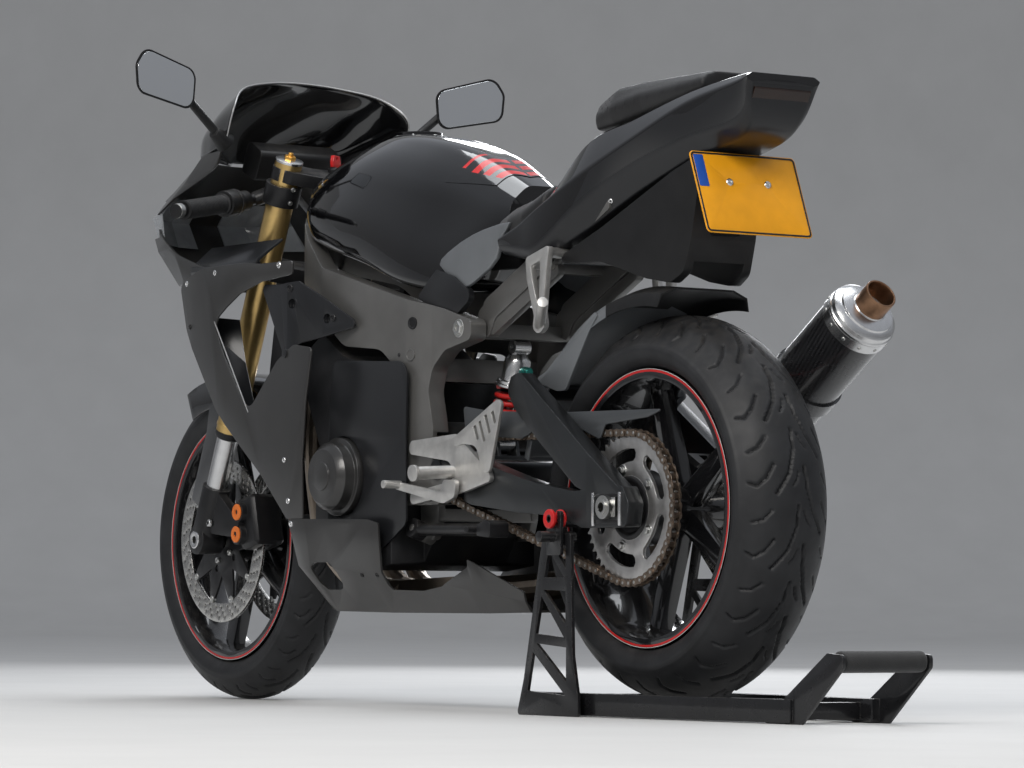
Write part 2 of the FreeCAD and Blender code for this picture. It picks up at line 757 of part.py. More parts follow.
# The frame's spar, seen from the side: x, z and corner radius.
SPAR_SIDE = (
    (1048, 930, 8), (979, 838, 40), (901, 782, 60), (742, 741, 90), (612, 706, 80),
    (525, 688, 20), (440, 664, 14), (440, 632, 14), (521, 617, 40), (560, 588, 30),
    (570, 548, 40), (557, 482, 30), (561, 430, 10), (510, 418, 20), (510, 372, 14), (540, 352, 14),
    (636, 352, 12), (634, 485, 30), (634, 545, 30), (652, 590, 40), (700, 626, 60), (821, 637, 60),
    (1010, 768, 40), (1098, 790, 12), (1132, 792, 6),
)
# The spar's outer face, seen from above: x, y and corner radius.
SPAR_PLAN = (
    (1160, 18, 0), (1110, 52, 20), (1000, 122, 60), (900, 146, 60), (740, 148, 80), (620, 142, 60),
    (560, 128, 30), (430, 128, 0),
)


def frame():
    """Two pressed spars from the head tube to the swingarm's pivot plates, tied across."""
    wall = size("spar_wall")
    outer = [(x, y, r) for x, y, r in SPAR_PLAN]
    inner = [(x, max(y - wall, 2), r) for x, y, r in reversed(SPAR_PLAN)]
    band = plan_plate(outer + inner, 300, 1000)
    spar = side_plate(SPAR_SIDE, 0, 200).common(band)
    # Room for the lower clamp and for the bars as the fork turns.
    for low, high in ((LOWER_CLAMP - 6, LOWER_CLAMP + size("clamp_thick") + 14), (-54, 60)):
        spar = spar.cut(rod(steer(low, 0, 0), steer(high, 0, 0), 152))
    head = rod(steer(HEAD_FROM, 0, 0), steer(HEAD_TO, 0, 0), size("head_tube_radius"))
    tie_wide = 2 * (128 - wall) + 8
    upper_tie = Part.makeBox(44, tie_wide, 40, Vector(572, -tie_wide / 2, 566))
    rear_tie = Part.makeBox(40, tie_wide, 24, Vector(454, -tie_wide / 2, 636.3))
    # Plates that carry the frame's feet down to the side stand, and the tube between them.
    foot = side_plate(((575, 368, 4), (632, 368, 4), (630, 292, 16), (588, 292, 16), (575, 330, 8)),
                      90, 104)
    foot_top = Part.makeBox(56, 26, 16, Vector(575, 92, 352))
    lower_tie = Part.makeBox(28, 200, 22, Vector(576, -100, 324))
    stand_boss = rod(STAND_PIVOT - STAND_AXIS * 34, STAND_PIVOT - STAND_AXIS * 12.3, 17)
    stand_pin = rod(STAND_PIVOT - STAND_AXIS * 14, STAND_PIVOT + STAND_AXIS * 13, 6)
    whole = fused(spar.cut(CHAIN_ROOM), mirrored(spar), head, upper_tie, rear_tie, foot,
                  mirrored(foot), foot_top, mirrored(foot_top), lower_tie, stand_boss, stand_pin)
    whole = whole.cut(rod(steer(-400, 0, 0), steer(50, 0, 0),
                          size("stem_radius") + size("running_gap")))
    pivot_hole = rod(PIVOT - ALONG_Y * 200, PIVOT + ALONG_Y * 200, 12.15)
    return whole.cut(pivot_hole)


frame_shape = frame()
feature("frame", frame_shape)


# The swingarm leg, below the brace, seen from the side: x, z and corner radius.
LEG_SIDE = (
    (PIVOT.x + 32, 384, 26), (PIVOT.x + 32, 440, 26), (PIVOT.x - 44, 444, 20), (332, 407, 200),
    (211, 381, 200), (100, 366, 10), (-40, 372, 10), (-58, 344, 14), (-50, 306, 8), (72, 306, 8),
    (142, 326, 40), (270, 334, 80), (430, 350, 80), (516, 378, 20),
)
# The brace that rises from the axle plate to the hugger's mount.
BRACE_SIDE = (
    (94, 374, 6), (212, 454, 200), (330, 540, 12), (306, 562, 12), (268, 567, 14),
    (96, 452, 200), (-44, 360, 6), (40, 356, 0),
)
# Both seen from above: x, inner face y, outer face y.
PLATE_IN, PLATE_OUT = 122, 152
LEG_PLAN = ((580, 60, 93), (506, 62, 93), (452, 98, 132), (420, 98, 134), (270, 116, 146),
            (60, PLATE_IN, PLATE_OUT), (-70, PLATE_IN, PLATE_OUT))
BRACE_PLAN = ((340, 96, 124), (282, 118, 142), (200, 118, 146), (60, 122, 152), (-60, 122, 152))


def plan_band(rows, z_from, z_to):
    inner = [(x, near, 0) for x, near, far in rows]
    outer = [(x, far, 0) for x, near, far in reversed(rows)]
    return plan_plate(inner + outer, z_from, z_to)


def swingarm():
    leg = side_plate(LEG_SIDE, 0, 200).common(plan_band(LEG_PLAN, 200, 700))
    brace = side_plate(BRACE_SIDE, 0, 200).common(plan_band(BRACE_PLAN, 200, 700))
    side = fused(leg, brace)
    slot = side_plate(((-34, 322, 8), (30, 322, 8), (30, 354, 8), (-34, 354, 8)), 60, 200)
    side = side.cut(slot)
    cross = side_plate(((400, 352, 12), (498, 372, 20), (498, 432, 20), (400, 424, 12)), -100, 100)
    upper_cross = side_plate(((292, 522, 10), (322, 528, 10), (312, 556, 10), (282, 552, 10)),
                             -120, 120)
    shock_lug = side_plate(((510, 430, 0), (546, 430, 0), (540, 462, 12), (518, 468, 12)),
                           16.3, 23)
    bearing = rod(PIVOT - ALONG_Y * 92, PIVOT + ALONG_Y * 92, 30)
    bridge = side_plate(((470, 386, 0), (545, 386, 0), (545, 436, 0), (470, 436, 0)), -92, 92)
    whole = fused(side.cut(CHAIN_ROOM), mirrored(side), cross, upper_cross, bearing, bridge,
                  shock_lug, mirrored(shock_lug))
    pivot_hole = rod(PIVOT - ALONG_Y * 200, PIVOT + ALONG_Y * 200, PIVOT_RADIUS + GAP / 2)
    lug = rod(SPOOL + ALONG_Y * PLATE_IN, SPOOL + ALONG_Y * PLATE_OUT, 13)
    return fused(whole.cut(pivot_hole), lug, mirrored(lug), spool(), mirrored(spool()))


def spool():
    """A lifting spool on the swingarm: two flanges and the groove the stand's fork holds."""
    start = SPOOL + ALONG_Y * PLATE_OUT
    return fused(rod(start, start + ALONG_Y * 24, 9), rod(start, start + ALONG_Y * 4, 14),
                 rod(start + ALONG_Y * 19, start + ALONG_Y * 24, 14))


def pivot_bolt():
    """The bolt that the swingarm turns on, with a flat head on each side of the frame."""
    face = SPAR_PLAN[6][1] + GAP
    head = face + 4
    return fused(rod(PIVOT - ALONG_Y * head, PIVOT + ALONG_Y * head, PIVOT_RADIUS),
                 rod(PIVOT - ALONG_Y * head, PIVOT - ALONG_Y * face, 17),
                 rod(PIVOT + ALONG_Y * face, PIVOT + ALONG_Y * head, 17))


PIVOT_RADIUS = 12
SPOOL = Vector(132, 0, 321)
swingarm_shape = swingarm()
feature("swingarm", solids(swingarm_shape, pivot_bolt()))


def rear_axle_set():
    """The hollow rear axle, its end nuts and the adjuster block in each slot."""
    half = PLATE_OUT + 14
    bar = rod(rear_axle - ALONG_Y * half, rear_axle + ALONG_Y * half, size("rear_axle_radius"))
    near, far = PLATE_IN, PLATE_OUT
    block = side_plate(((-22, 322 + GAP, 2), (24, 322 + GAP, 2), (24, 354 - GAP, 2),
                        (-22, 354 - GAP, 2)), near, far + 1)
    nut = rod(rear_axle + ALONG_Y * (far + 1), rear_axle + ALONG_Y * (far + 11), 19)
    spacer = pipe(rear_axle + ALONG_Y * (plane + size("sprocket_thick") / 2 + 1),
                  rear_axle + ALONG_Y * near, 17, size("rear_axle_radius") - 1)
    whole = fused(bar, block, mirrored(block), nut, mirrored(nut), spacer, mirrored(spacer))
    return whole.cut(rod(rear_axle - ALONG_Y * 300, rear_axle + ALONG_Y * 300,
                         size("rear_axle_bore_radius")))


feature("rear_axle", rear_axle_set())


def section(x, rows):
    """A rounded section across the bike at x: rows of (half width, z, corner radius)."""
    right = [(row[0], row[1], row[2]) for row in rows]
    left = [(-row[0], row[1], row[2]) for row in reversed(rows)]
    return outline([(Vector(x, y, z), radius) for y, z, radius in right + left])


def sections(table, radii, first_column=1):
    """Sections from rows of x and then pairs of half width and height, lowest pair first."""
    wires = []
    for row in table:
        rows = [(row[i], row[i + 1], radii[(i - 1) // 2]) for i in range(1, len(row), 2)]
        wires.append(section(row[0], rows))
    return wires


# The tank: x, then half width and height of its lower edge, its side, its shoulder and its top.
TANK = (
    (1003, 100, 842, 118, 886, 104, 926, 40, 940),
    (972, 124, 832, 134, 884, 116, 944, 46, 976),
    (880, 138, 806, 150, 872, 124, 962, 50, 1008),
    (775, 142, 776, 153, 856, 124, 966, 52, 1017),
    (650, 134, 732, 140, 812, 116, 940, 50, 996),
    (545, 112, 720, 112, 800, 98, 906, 44, 962),
    (470, 88, 772, 90, 824, 80, 882, 36, 926),
    (416, 66, 812, 68, 838, 62, 868, 28, 898),
)
TANK_RADII = (16, 40, 40, 26)
FILLER = Vector(800, 0, 1017.5)


def tank():
    body = loft(sections(TANK, TANK_RADII))
    seat_flat = rod(FILLER - Vector(0, 0, 14), FILLER + Vector(0, 0, 40), 52)
    return body.cut(seat_flat)


filler_ring = pipe(FILLER - Vector(0, 0, 13.7), FILLER - Vector(0, 0, 1), 51.7, 32)
feature("fuel_tank", solids(tank().cut(frame_shape), filler_ring))
cap_start = FILLER - Vector(0, 0, 0.7)
cap_disc = rod(cap_start, cap_start + Vector(0, 0, 7), 38)
cap_hinge_at = FILLER + Vector(46, 0, 3)
cap_knuckle = rod(cap_hinge_at - ALONG_Y * 9, cap_hinge_at + ALONG_Y * 9, 3.4)
cap_arm = Part.makeBox(14, 18, 6, Vector(FILLER.x + 32, -9, FILLER.z - 0.4))
feature("fuel_cap", fused(cap_disc, cap_arm, cap_knuckle))

# The rider's seat, as the tank's table.
SEAT = (
    (428, 78, 796, 84, 826, 60, 842),
    (350, 108, 796, 116, 828, 92, 850),
    (300, 112, 800, 118, 838, 90, 860),
    (256, 100, 832, 104, 866, 76, 884),
)
seat = loft(sections(SEAT, (8, 20, 20))).cut(loft(sections(TANK, TANK_RADII)))
feature("rider_seat", solids(seat))

# The tail: x, half width and height of its keel edge, its lower side, its crease and its deck.
TAIL = (
    (357, 118, 768, 128, 780, 130, 796, 122, 800),
    (252, 116, 752, 126, 770, 126, 838, 104, 842),
    (150, 96, 800, 112, 838, 116, 884, 92, 940),
    (20, 72, 862, 92, 896, 102, 934, 84, 972),
    (-110, 56, 908, 74, 930, 84, 984, 70, 1004),
    (-226, 44, 938, 60, 952, 74, 1007, 62, 1019),
    (-264, 60, 1007, 70, 1009, 74, 1014, 62, 1021),
)
TAIL_RADII = (0, 0, 0, 10)


def tail():
    body = loft(sections(TAIL, TAIL_RADII))
    inside = loft(sections([
        (x, kw - 10, kz - 20, sw - 10, sz - 4, cw - 8, cz - 4, dw - 8, dz - 6)
        for x, kw, kz, sw, sz, cw, cz, dw, dz in TAIL[:4]], (0, 0, 0, 0)))
    seat_room = Part.makeBox(140, 300, 200, Vector(246, -150, 790))
    seat_room = seat_room.common(loft(sections(
        [(x, a + 1, za - 8, b + 1, zb, c + 1, zc + 60) for x, a, za, b, zb, c, zc in SEAT],
        (0, 0, 0))))
    return body.cut(inside).cut(seat_room)


tail_shape = tail()
feature("tail_cowl", solids(tail_shape))


# The pillion seat, as the rider's seat.
PILLION = (
    (240, 84, 962, 94, 978, 74, 1004),
    (150, 82, 966, 92, 992, 70, 1028),
    (20, 70, 980, 80, 1008, 56, 1034),
    (-130, 58, 1006, 64, 1020, 46, 1036),
)
pillion = loft(sections(PILLION, (8, 12, 18))).cut(loft(sections(TAIL, TAIL_RADII)))
feature("pillion_seat", solids(max(pillion.Solids, key=lambda one: one.Volume)))

# The light on the tail's sloping rear face, seen from the side: x, z, corner radius.
LIGHT_SIDE = ((-233.8, 954, 2), (-258.1, 1000, 2), (-263.4, 997.2, 2), (-239.1, 951.2, 2))
feature("tail_light", side_plate(LIGHT_SIDE, -56, 56).cut(tail_shape))

# The black tray under the tail, seen from the side: x, z, corner radius.
TRAY_SIDE = (
    (236, 748, 8), (110, 800, 60), (-60, 880, 60), (-128, 905, 6), (-128, 885, 10),
    (-106, 770, 30), (-88, 716, 24), (-56, 700, 20), (0, 710, 30), (110, 744, 60),
)
# The same tray seen from above: x, half width.
TRAY_PLAN = ((240, 106), (60, 84), (-130, 62), (-200, 54))


def tray():
    outer = [(x, half, 0) for x, half in TRAY_PLAN]
    other = [(x, -half, 0) for x, half in reversed(TRAY_PLAN)]
    body = side_plate(TRAY_SIDE, -200, 200).common(plan_plate(outer + other, 650, 950))
    body = body.cut(loft(sections(TAIL, TAIL_RADII)))
    body = max(body.Solids, key=lambda one: one.Volume)
    low_room = side_plate(((220, 700, 0), (220, 742, 20), (100, 776, 60), (-40, 800, 60),
                           (-120, 700, 0)), -50, 50)
    return body.cut(low_room)


def number_plate():
    """The blank plate and the bracket behind it, leaning back at its lower edge."""
    wide, high, thick = size("plate_width"), size("plate_height"), size("plate_thick")
    plate = Part.makeBox(thick, wide, high, Vector(-thick, -wide / 2, -high))
    plate = plate.makeFillet(8, [e for e in plate.Edges if abs(e.BoundBox.XLength - thick) < 1e-6])
    for across in (-38, 38):
        plate = plate.cut(rod(Vector(-9, across, -52), Vector(9, across, -52), 3))
    bracket = Part.makeBox(5, 110, 96, Vector(0, -55, -112))
    whole = fused(plate, bracket)
    whole.rotate(Vector(0, 0, 0), ALONG_Y, 21)
    whole.translate(Vector(-152, 0, 903))
    arm = side_plate(((-152, 894, 0), (-118, 880, 0), (-96, 770, 0), (-190, 800, 0)), -26, 26)
    return fused(whole, arm.cut(tray_shape))


tray_shape = tray()
feature("undertray", solids(tray_shape))
feature("number_plate", number_plate())

# Subframe rail seen from the side: x, z, corner radius.
RAIL_SIDE = (
    (438, 638, 6), (478, 652, 6), (452, 700, 20), (300, 772, 40), (120, 850, 20), (90, 858, 6),
    (84, 830, 6), (280, 738, 40), (420, 668, 20),
)


def subframe():
    """Two rails that carry seat and tail, with struts and two cross ties."""
    rail = side_plate(RAIL_SIDE, 70, 92)
    strut = side_plate(((452, 662, 4), (432, 640, 4), (236, 732, 10), (238, 752, 10)), 74, 88)
    foot = side_plate(((438, 636, 6), (476, 648, 6), (470, 690, 20), (430, 690, 20)), 70, 92)
    side = fused(rail, strut, foot)
    ties = [Part.makeBox(26, 150, 16, Vector(x, -75, z)) for x, z in ((330, 742), (190, 802))]
    return fused(side, mirrored(side), *ties)


subframe_cut = loft(sections(SEAT, (8, 20, 20))).fuse(loft(sections(TANK, TANK_RADII)))
subframe_shape = subframe().cut(subframe_cut).cut(tail_shape).cut(frame_shape)
feature("subframe", solids(*sorted(subframe_shape.Solids, key=lambda one: -one.Volume)[:1]))

# Engine cases and cylinders seen from the side: x, z, corner radius.
CASES_SIDE = (
    (560, 374, 0), (608, 362, 6), (612, 300, 20), (650, 250, 30), (740, 240, 20), (860, 246, 30),
    (908, 300, 40),
    (908, 400, 30), (850, 462, 20), (700, 500, 30), (640, 500, 20), (560, 452, 10),
)
CYLINDERS_SIDE = (
    (704, 470, 0), (880, 398, 0), (968, 570, 16), (948, 640, 16), (905, 664, 12), (836, 622, 10),
    (760, 600, 16),
)


def engine():
    """The engine as one block: the cases, narrow between the frame's feet, and the cylinders."""
    cases = side_plate(CASES_SIDE, -150, 150)
    narrow_rear = ((540, 86, 0), (648, 86, 0), (654, 150, 0), (980, 150, 0))
    plan = list(narrow_rear) + [(x, -y, 0) for x, y, r in reversed(narrow_rear)]
    cases = cases.common(plan_plate(plan, 200, 700))
    cylinders = side_plate(CYLINDERS_SIDE, -140, 140)
    block = fused(cases, cylinders)
    pivot_room = rod(PIVOT - ALONG_Y * 200, PIVOT + ALONG_Y * 200, 40)
    room = pair(side_plate(SPAR_SIDE, 90, 200)).common(pair(plan_plate(
        [(x, y + 2, 0) for x, y, r in SPAR_PLAN]
        + [(x, max(y - size("spar_wall") - 2, 1), 0) for x, y, r in reversed(SPAR_PLAN)],
        300, 1000)))
    return block.cut(pivot_room).cut(room)


engine_shape = engine()
engine_shape = max(engine_shape.Solids, key=lambda one: one.Volume)
feature("engine", fused(engine_shape, output_shaft, front_sprocket))


def cover(x, z, y_from, y_to, radius, slope):
    """A round engine cover with its rim, a chamfered dome and a raised middle."""
    start = Vector(x, y_from, z)
    end = Vector(x, y_to, z)
    base = rod(start, start + ALONG_Y * 14, radius + 9)
    dome = fused(rod(start, end - ALONG_Y * slope, radius),
                 Part.makeCone(radius, radius - slope, slope, end - ALONG_Y * slope, ALONG_Y))
    cap_ring = rod(end, end + ALONG_Y * 3, radius * 0.42)
    return fused(base, dome, cap_ring)


generator = cover(812, 405, 150 + GAP, 196, 60, 12)
feature("engine_covers", pair(generator))

RADIATOR_SIDE = ((1046, 440, 4), (1080, 446, 4), (1030, 706, 4), (996, 700, 4))
core = side_plate(RADIATOR_SIDE, -132, 132)
tank_side = side_plate(((1042, 436, 8), (1086, 442, 8), (1036, 712, 8), (990, 704, 8)), 132, 160)
radiator_stay = Part.makeBox(16, 14, 80, Vector(1000, 92, 700))
feature("radiator", fused(core, tank_side, mirrored(tank_side), radiator_stay,
                          mirrored(radiator_stay)).cut(frame_shape))


def headers():
    """Four header pipes into one collector, and the link pipe out to the silencer."""
    pipes = []
    for across in (-99, -33, 33, 99):
        route = [Vector(952, across, 586), Vector(992, across, 566), Vector(1004, across, 440),
                 Vector(984, across * 0.9, 290), Vector(900, across * 0.7, 212),
                 Vector(760, across * 0.57, 204)]
        pipes.append(tube(route, 17, 0.4))
    collector = loft([ring_wire([Vector(x, y, z) for y, z in corners]) for x, corners in (
        (772, ((78, 186), (78, 222), (-78, 222), (-78, 186))),
        (640, ((-8, 176), (-8, 232), (-68, 232), (-68, 176))))])
    link = tube([Vector(645, -38, 204), Vector(520, -90, 212), Vector(420, -170, 238),
                 Vector(300, -can_plane, 283), can_front + can_way * (4 + GAP)], 25, 0.4)
    return fused(*pipes, collector, link)


can_plane = size("can_plane")
can_tilt = math.radians(size("can_slope"))
can_way = Vector(math.cos(can_tilt), 0, -math.sin(can_tilt))
can_rear = Vector(-252, -can_plane, 656)
can_front = can_rear + can_way * size("can_length")
headers_shape = headers()
headers_shape = headers_shape.cut(engine_shape)
feature("exhaust_headers", solids(*sorted(headers_shape.Solids, key=lambda s: -s.Volume)[:1]))

can = rod(can_rear + can_way * 20, can_front - can_way * 40, size("can_radius"))
inlet_cone = Part.makeCone(size("can_radius"), 27, 44, can_front - can_way * 40, can_way)
can_strap = pipe(can_front - can_way * 150, can_front - can_way * 122,
                 size("can_radius") + 4, size("can_radius"))
silencer_shape = fused(can, inlet_cone, can_strap)
feature("silencer", silencer_shape)

cap_ring = Part.makeCone(size("can_radius") + 1.5, size("can_radius") - 6, 20,
                         can_rear + can_way * (20 - GAP), can_way * -1)
outlet = rod(can_rear + can_way * 10, can_rear - can_way * 44, size("outlet_radius"))
outlet_bore = rod(can_rear + can_way * (-6), can_rear - can_way * 60, size("outlet_bore_radius"))
feature("silencer_cap", fused(cap_ring, outlet).cut(outlet_bore))

# The nose, level by level from its chin up: z, then x and half width of its rear edge, its side,
# its cheek and its corner, and the x of its tip.
NOSE = (
    (776, 1172, 212, 1290, 208, 1380, 168, 1428, 90, 1446),
    (846, 1230, 208, 1340, 206, 1462, 168, 1525, 95, 1548),
    (915, 1236, 202, 1392, 198, 1512, 160, 1575, 88, 1598),
    (962, 1222, 188, 1340, 184, 1446, 142, 1524, 76, 1548),
    (1016, 1196, 186, 1290, 170, 1376, 124, 1426, 64, 1444),
)


def nose_level(row, inset, wall):
    """The nose's wall at one level: its outside there and back along its inside."""
    height, rear, rear_half, side, side_half, cheek, cheek_half, corner, corner_half, tip = row
    outer = [(rear, rear_half - inset), (side - inset, side_half - inset),
             (cheek - inset, cheek_half - inset), (corner - inset, corner_half - inset)]
    inner = [(rear, rear_half - inset - wall), (side - inset - wall, side_half - inset - wall),
             (cheek - inset - wall, cheek_half - inset - wall),
             (corner - inset - wall, corner_half - inset - wall)]
    line = outer + [(tip - inset, 18), (tip - inset, -18)]
    line += [(x, -y) for x, y in reversed(outer)]
    line += [(x, -y) for x, y in inner]
    line += [(tip - inset - wall, -17), (tip - inset - wall, 17)]
    line += list(reversed(inner))
    return ring_wire([Vector(x, y, height) for x, y in line])


def nose_shell(inset, wall):
    return loft([nose_level(row, inset, wall) for row in NOSE])


def lamp_window(grow):
    rows = ((1440 - grow, 40 - grow, 10), (1600, 40 - grow, 0), (1600, 190, 0),
            (1440 - grow, 190, 0))
    window = plan_plate(rows, 872 - grow, 944 + grow)
    return window


shell = nose_shell(0, size("panel_wall"))
window = lamp_window(0)
# The nose is open towards the rider: its rim seen from the side, x, z and corner radius.
RIM_SIDE = (
    (1100, 1060, 0), (1150, 1022, 0), (1226, 982, 60), (1295, 961, 60), (1371, 937, 60),
    (1440, 916, 12), (1448, 896, 20), (1430, 877, 20), (1384, 855, 60), (1311, 827, 60),
    (1228, 803, 60), (1165, 790, 0), (1100, 780, 0),
)
nose = shell.cut(window).cut(mirrored(window)).cut(side_plate(RIM_SIDE, -300, 300))
feature("nose_cowl", solids(*sorted(nose.Solids, key=lambda s: -s.Volume)[:1]))
lens = nose_shell(size("panel_wall") + GAP, 3).common(lamp_window(8))
lens = max(lens.Solids, key=lambda one: one.Volume)
feature("headlights", pair(lens))

# Half of each arch of the screen, rear arch first: x, y and z of its base, side, shoulder,
# upper part and crown.
SCREEN = (
    ((1172, 190, 1028), (1143, 190, 1088), (1176, 152, 1130), (1212, 76, 1150), (1225, 0, 1156)),
    ((1262, 176, 1016.3), (1252, 174, 1068), (1266, 134, 1104), (1284, 68, 1122), (1290, 0, 1128)),
    ((1350, 140, 1016.3), (1348, 136, 1044), (1354, 104, 1064), (1362, 52, 1079), (1366, 0, 1083)),
    ((1440, 26, 1016.3), (1441, 24, 1021), (1442, 18, 1023), (1443, 9, 1024), (1443, 0, 1024.5)),
)


def sheet_solid(top, under):
    """A thin solid between two grids of points, rows of equal length, closed round its rim."""
    faces = []

    def quad(a, b, c, d):
        faces.append(triangle(a, b, c))
        faces.append(triangle(a, c, d))

    rows, columns = len(top), len(top[0])
    for i in range(rows - 1):
        for j in range(columns - 1):
            quad(top[i][j], top[i][j + 1], top[i + 1][j + 1], top[i + 1][j])
            quad(under[i][j], under[i + 1][j], under[i + 1][j + 1], under[i][j + 1])
        for j in (0, columns - 1):
            quad(top[i][j], top[i + 1][j], under[i + 1][j], under[i][j])
    for i in (0, rows - 1):
        for j in range(columns - 1):
            quad(top[i][j], top[i][j + 1], under[i][j + 1], under[i][j])
    return closed_solid(faces)


def screen_arch(row):
    return [Vector(x, y, z) for x, y, z in row] + [Vector(x, -y, z) for x, y, z in row[-2::-1]]


def screen():
    """The tinted screen: a thin shell over its arches."""
    wall = 3.5
    under_rows = []
    for row in SCREEN:
        under = [(x, y - wall * 1.1, z) for x, y, z in row[:1]]
        under += [(x, y - wall, z - wall * 0.4) for x, y, z in row[1:2]]
        under += [(x, y - wall * 0.7, z - wall * 0.8) for x, y, z in row[2:3]]
        under += [(x, y - wall * 0.3, z - wall) for x, y, z in row[3:4]]
        under += [(x, 0, z - wall) for x, y, z in row[4:]]
        under_rows.append(under)
    return sheet_solid([screen_arch(row) for row in SCREEN], [screen_arch(row) for row in under_rows])


screen_shape = screen()
feature("windscreen", solids(screen_shape))


def mirror_parts():
    """The left mirror: stalk and housing, and the glass set in its rear face."""
    centre = Vector(0, 0, 0)
    rows = ((-76, -34, 22), (-64, 41, 24), (64, 43, 26), (77, 6, 22), (60, -43, 24))
    shell_front = outline([(Vector(34, y * 0.6, z * 0.6), r * 0.6) for y, z, r in rows])
    shell_rear = outline([(Vector(0, y, z), r) for y, z, r in rows])
    housing = loft([shell_rear, shell_front])
    pane_wire = outline([(Vector(-2, y * 0.94, z * 0.92), r * 0.9) for y, z, r in rows])
    pane = Part.Face(pane_wire).extrude(Vector(6, 0, 0))
    housing = housing.cut(pane)
    glass_wire = outline([(Vector(-1, y * 0.93, z * 0.91), r * 0.9) for y, z, r in rows])
    glass = Part.Face(glass_wire).extrude(Vector(4.7, 0, 0))
    for shape in (housing, glass, pane):
        shape.rotate(centre, Vector(1, 0, 0), 14)
        shape.rotate(centre, Vector(0, 0, 1), 10.7)
        shape.translate(Vector(1146, size("mirror_half"), 1130))
    base = Vector(1182, 192, 1034)
    stalk = rod(base, Vector(1168, 282, 1112), 8)
    boot = Part.makeCone(20, 11, 34, base - Vector(0, 8, 6), Vector(-6, 28, 18))
    grown = glass.copy()
    grown.translate(Vector(-3, -0.6, 0))
    return fused(housing, stalk, boot).cut(pane).cut(grown), glass


mirror, mirror_pane = mirror_parts()
beside_screen = screen_shape.copy()
beside_screen.translate(Vector(0, 0.3, 0))
mirror = mirror.cut(screen_shape).cut(mirrored(screen_shape)).cut(beside_screen).cut(shell)
feature("mirrors", pair(solids(max(mirror.Solids, key=lambda one: one.Volume))))
feature("mirror_glass", pair(mirror_pane))

dash = side_plate(((1238, 968, 10), (1290, 990, 10), (1262, 1048, 12), (1212, 1020, 12)), -88, 88)
dash_stay = side_plate(((1130, 838, 0), (1130, 872, 0), (1240, 950, 10), (1272, 982, 0),
                        (1290, 984, 0), (1300, 950, 10), (1180, 838, 10)), -10, 10)
dash_stay = dash_stay.cut(rod(steer(HEAD_FROM, 0, 0), steer(HEAD_TO, 0, 0),
                              size("head_tube_radius")))
feature("instrument_panel", fused(dash, dash_stay))

# The side fairing seen from the side: x, z, corner radius. Its opening shows the radiator.
FAIRING_SIDE = (
    (1304, 772, 14), (1200, 796, 80), (1055, 797, 80), (1000, 792, 30), (905, 792, 6),
    (905, 768, 6), (999, 759, 20), (1067, 741, 30), (1158, 694, 24), (1120, 634, 60),
    (1038, 524, 24), (948, 615, 40), (900, 642, 20), (846, 634, 10), (864, 542, 60),
    (873, 436, 40), (869, 331, 2), (916, 331, 10), (988, 406, 120), (1147, 534, 120),
    (1269, 686, 60),
)
# Its outer face seen from above: x, y.
FAIRING_PLAN = ((1320, 206), (1240, 219), (1110, 222), (980, 213), (880, 202), (830, 196))


def skin(side_rows, plan_rows, wall):
    outer = [(x, y, 0) for x, y in plan_rows]
    inner = [(x, y - wall, 0) for x, y in reversed(plan_rows)]
    return side_plate(side_rows, 60, 300).common(plan_plate(outer + inner, 100, 1000))


fairing = skin(FAIRING_SIDE, FAIRING_PLAN, size("panel_wall"))
feature("side_fairings", pair(fairing))

# The duct panel between the tank and the fairing, with its two bolt pockets.
DUCT_SIDE = (
    (1016, 756, 10), (952, 752, 10), (904, 756, 6), (770, 682, 10), (764, 668, 10), (831, 656, 30),
    (901, 644, 20), (934, 614, 10),
)
DUCT_PLAN = ((1020, 204), (930, 200), (850, 176), (760, 158))
duct = skin(DUCT_SIDE, DUCT_PLAN, size("panel_wall"))
duct = max(duct.cut(fairing).Solids, key=lambda one: one.Volume)
# Its two bolt pockets: x, z and the panel's outer face there.
for x, z, face in ((918, 716, 196.4), (836, 686, 172)):
    boss = rod(Vector(x, 120, z), Vector(x, face - 2, z), 12).cut(frame_shape)
    boss = max(boss.Solids, key=lambda one: one.CenterOfMass.y)
    duct = fused(duct, boss).cut(rod(Vector(x, face - 8, z), Vector(x, face + 9, z), 9))

# The boss on which the fairing's own edge is bolted down.
fairing_boss = rod(Vector(925, 196, 627), Vector(925, 208, 627), 8)
duct = max(fused(duct, fairing_boss).cut(fairing).Solids, key=lambda one: one.Volume)

# The black cover between fairing and engine, below the spar.
INNER_SIDE = (
    (846, 612, 20), (600, 600, 30), (604, 470, 30), (600, 320, 20), (704, 262, 20), (862, 262, 6),
    (862, 440, 40), (854, 540, 40),
)
inner_cover = side_plate(INNER_SIDE, 150 + GAP, 154)
inner_cover = inner_cover.cut(rod(Vector(812, 100, 405), Vector(812, 300, 405), 72))

# The inner tray from the fairing's top edge up towards the fork.
tray_rows = ((210, 786, 0), (204, 800, 0), (156, 838, 0), (156, 842, 0), (208, 804, 0),
             (214, 792, 0))
inner_tray = front_plate(tray_rows, 1020, 1300)
inner_tray = inner_tray.cut(plan_plate(((1300, 100, 0), (1300, 230, 0), (1250, 230, 0)), 700, 900))
inner_tray = inner_tray.cut(fairing).cut(shell).cut(duct)
inner_tray = max(inner_tray.Solids, key=lambda one: one.Volume)

# The soft grey pad between tank, seat and spar.
PAD_SIDE = (
    (556, 758, 6), (500, 742, 30), (455, 716, 10), (452, 700, 20), (492, 676, 20), (560, 690, 60),
    (618, 712, 6),
)
pad = side_plate(PAD_SIDE, 112, 124).cut(frame_shape).cut(loft(sections(TANK, TANK_RADII)))
pad = max(pad.Solids, key=lambda one: one.Volume)

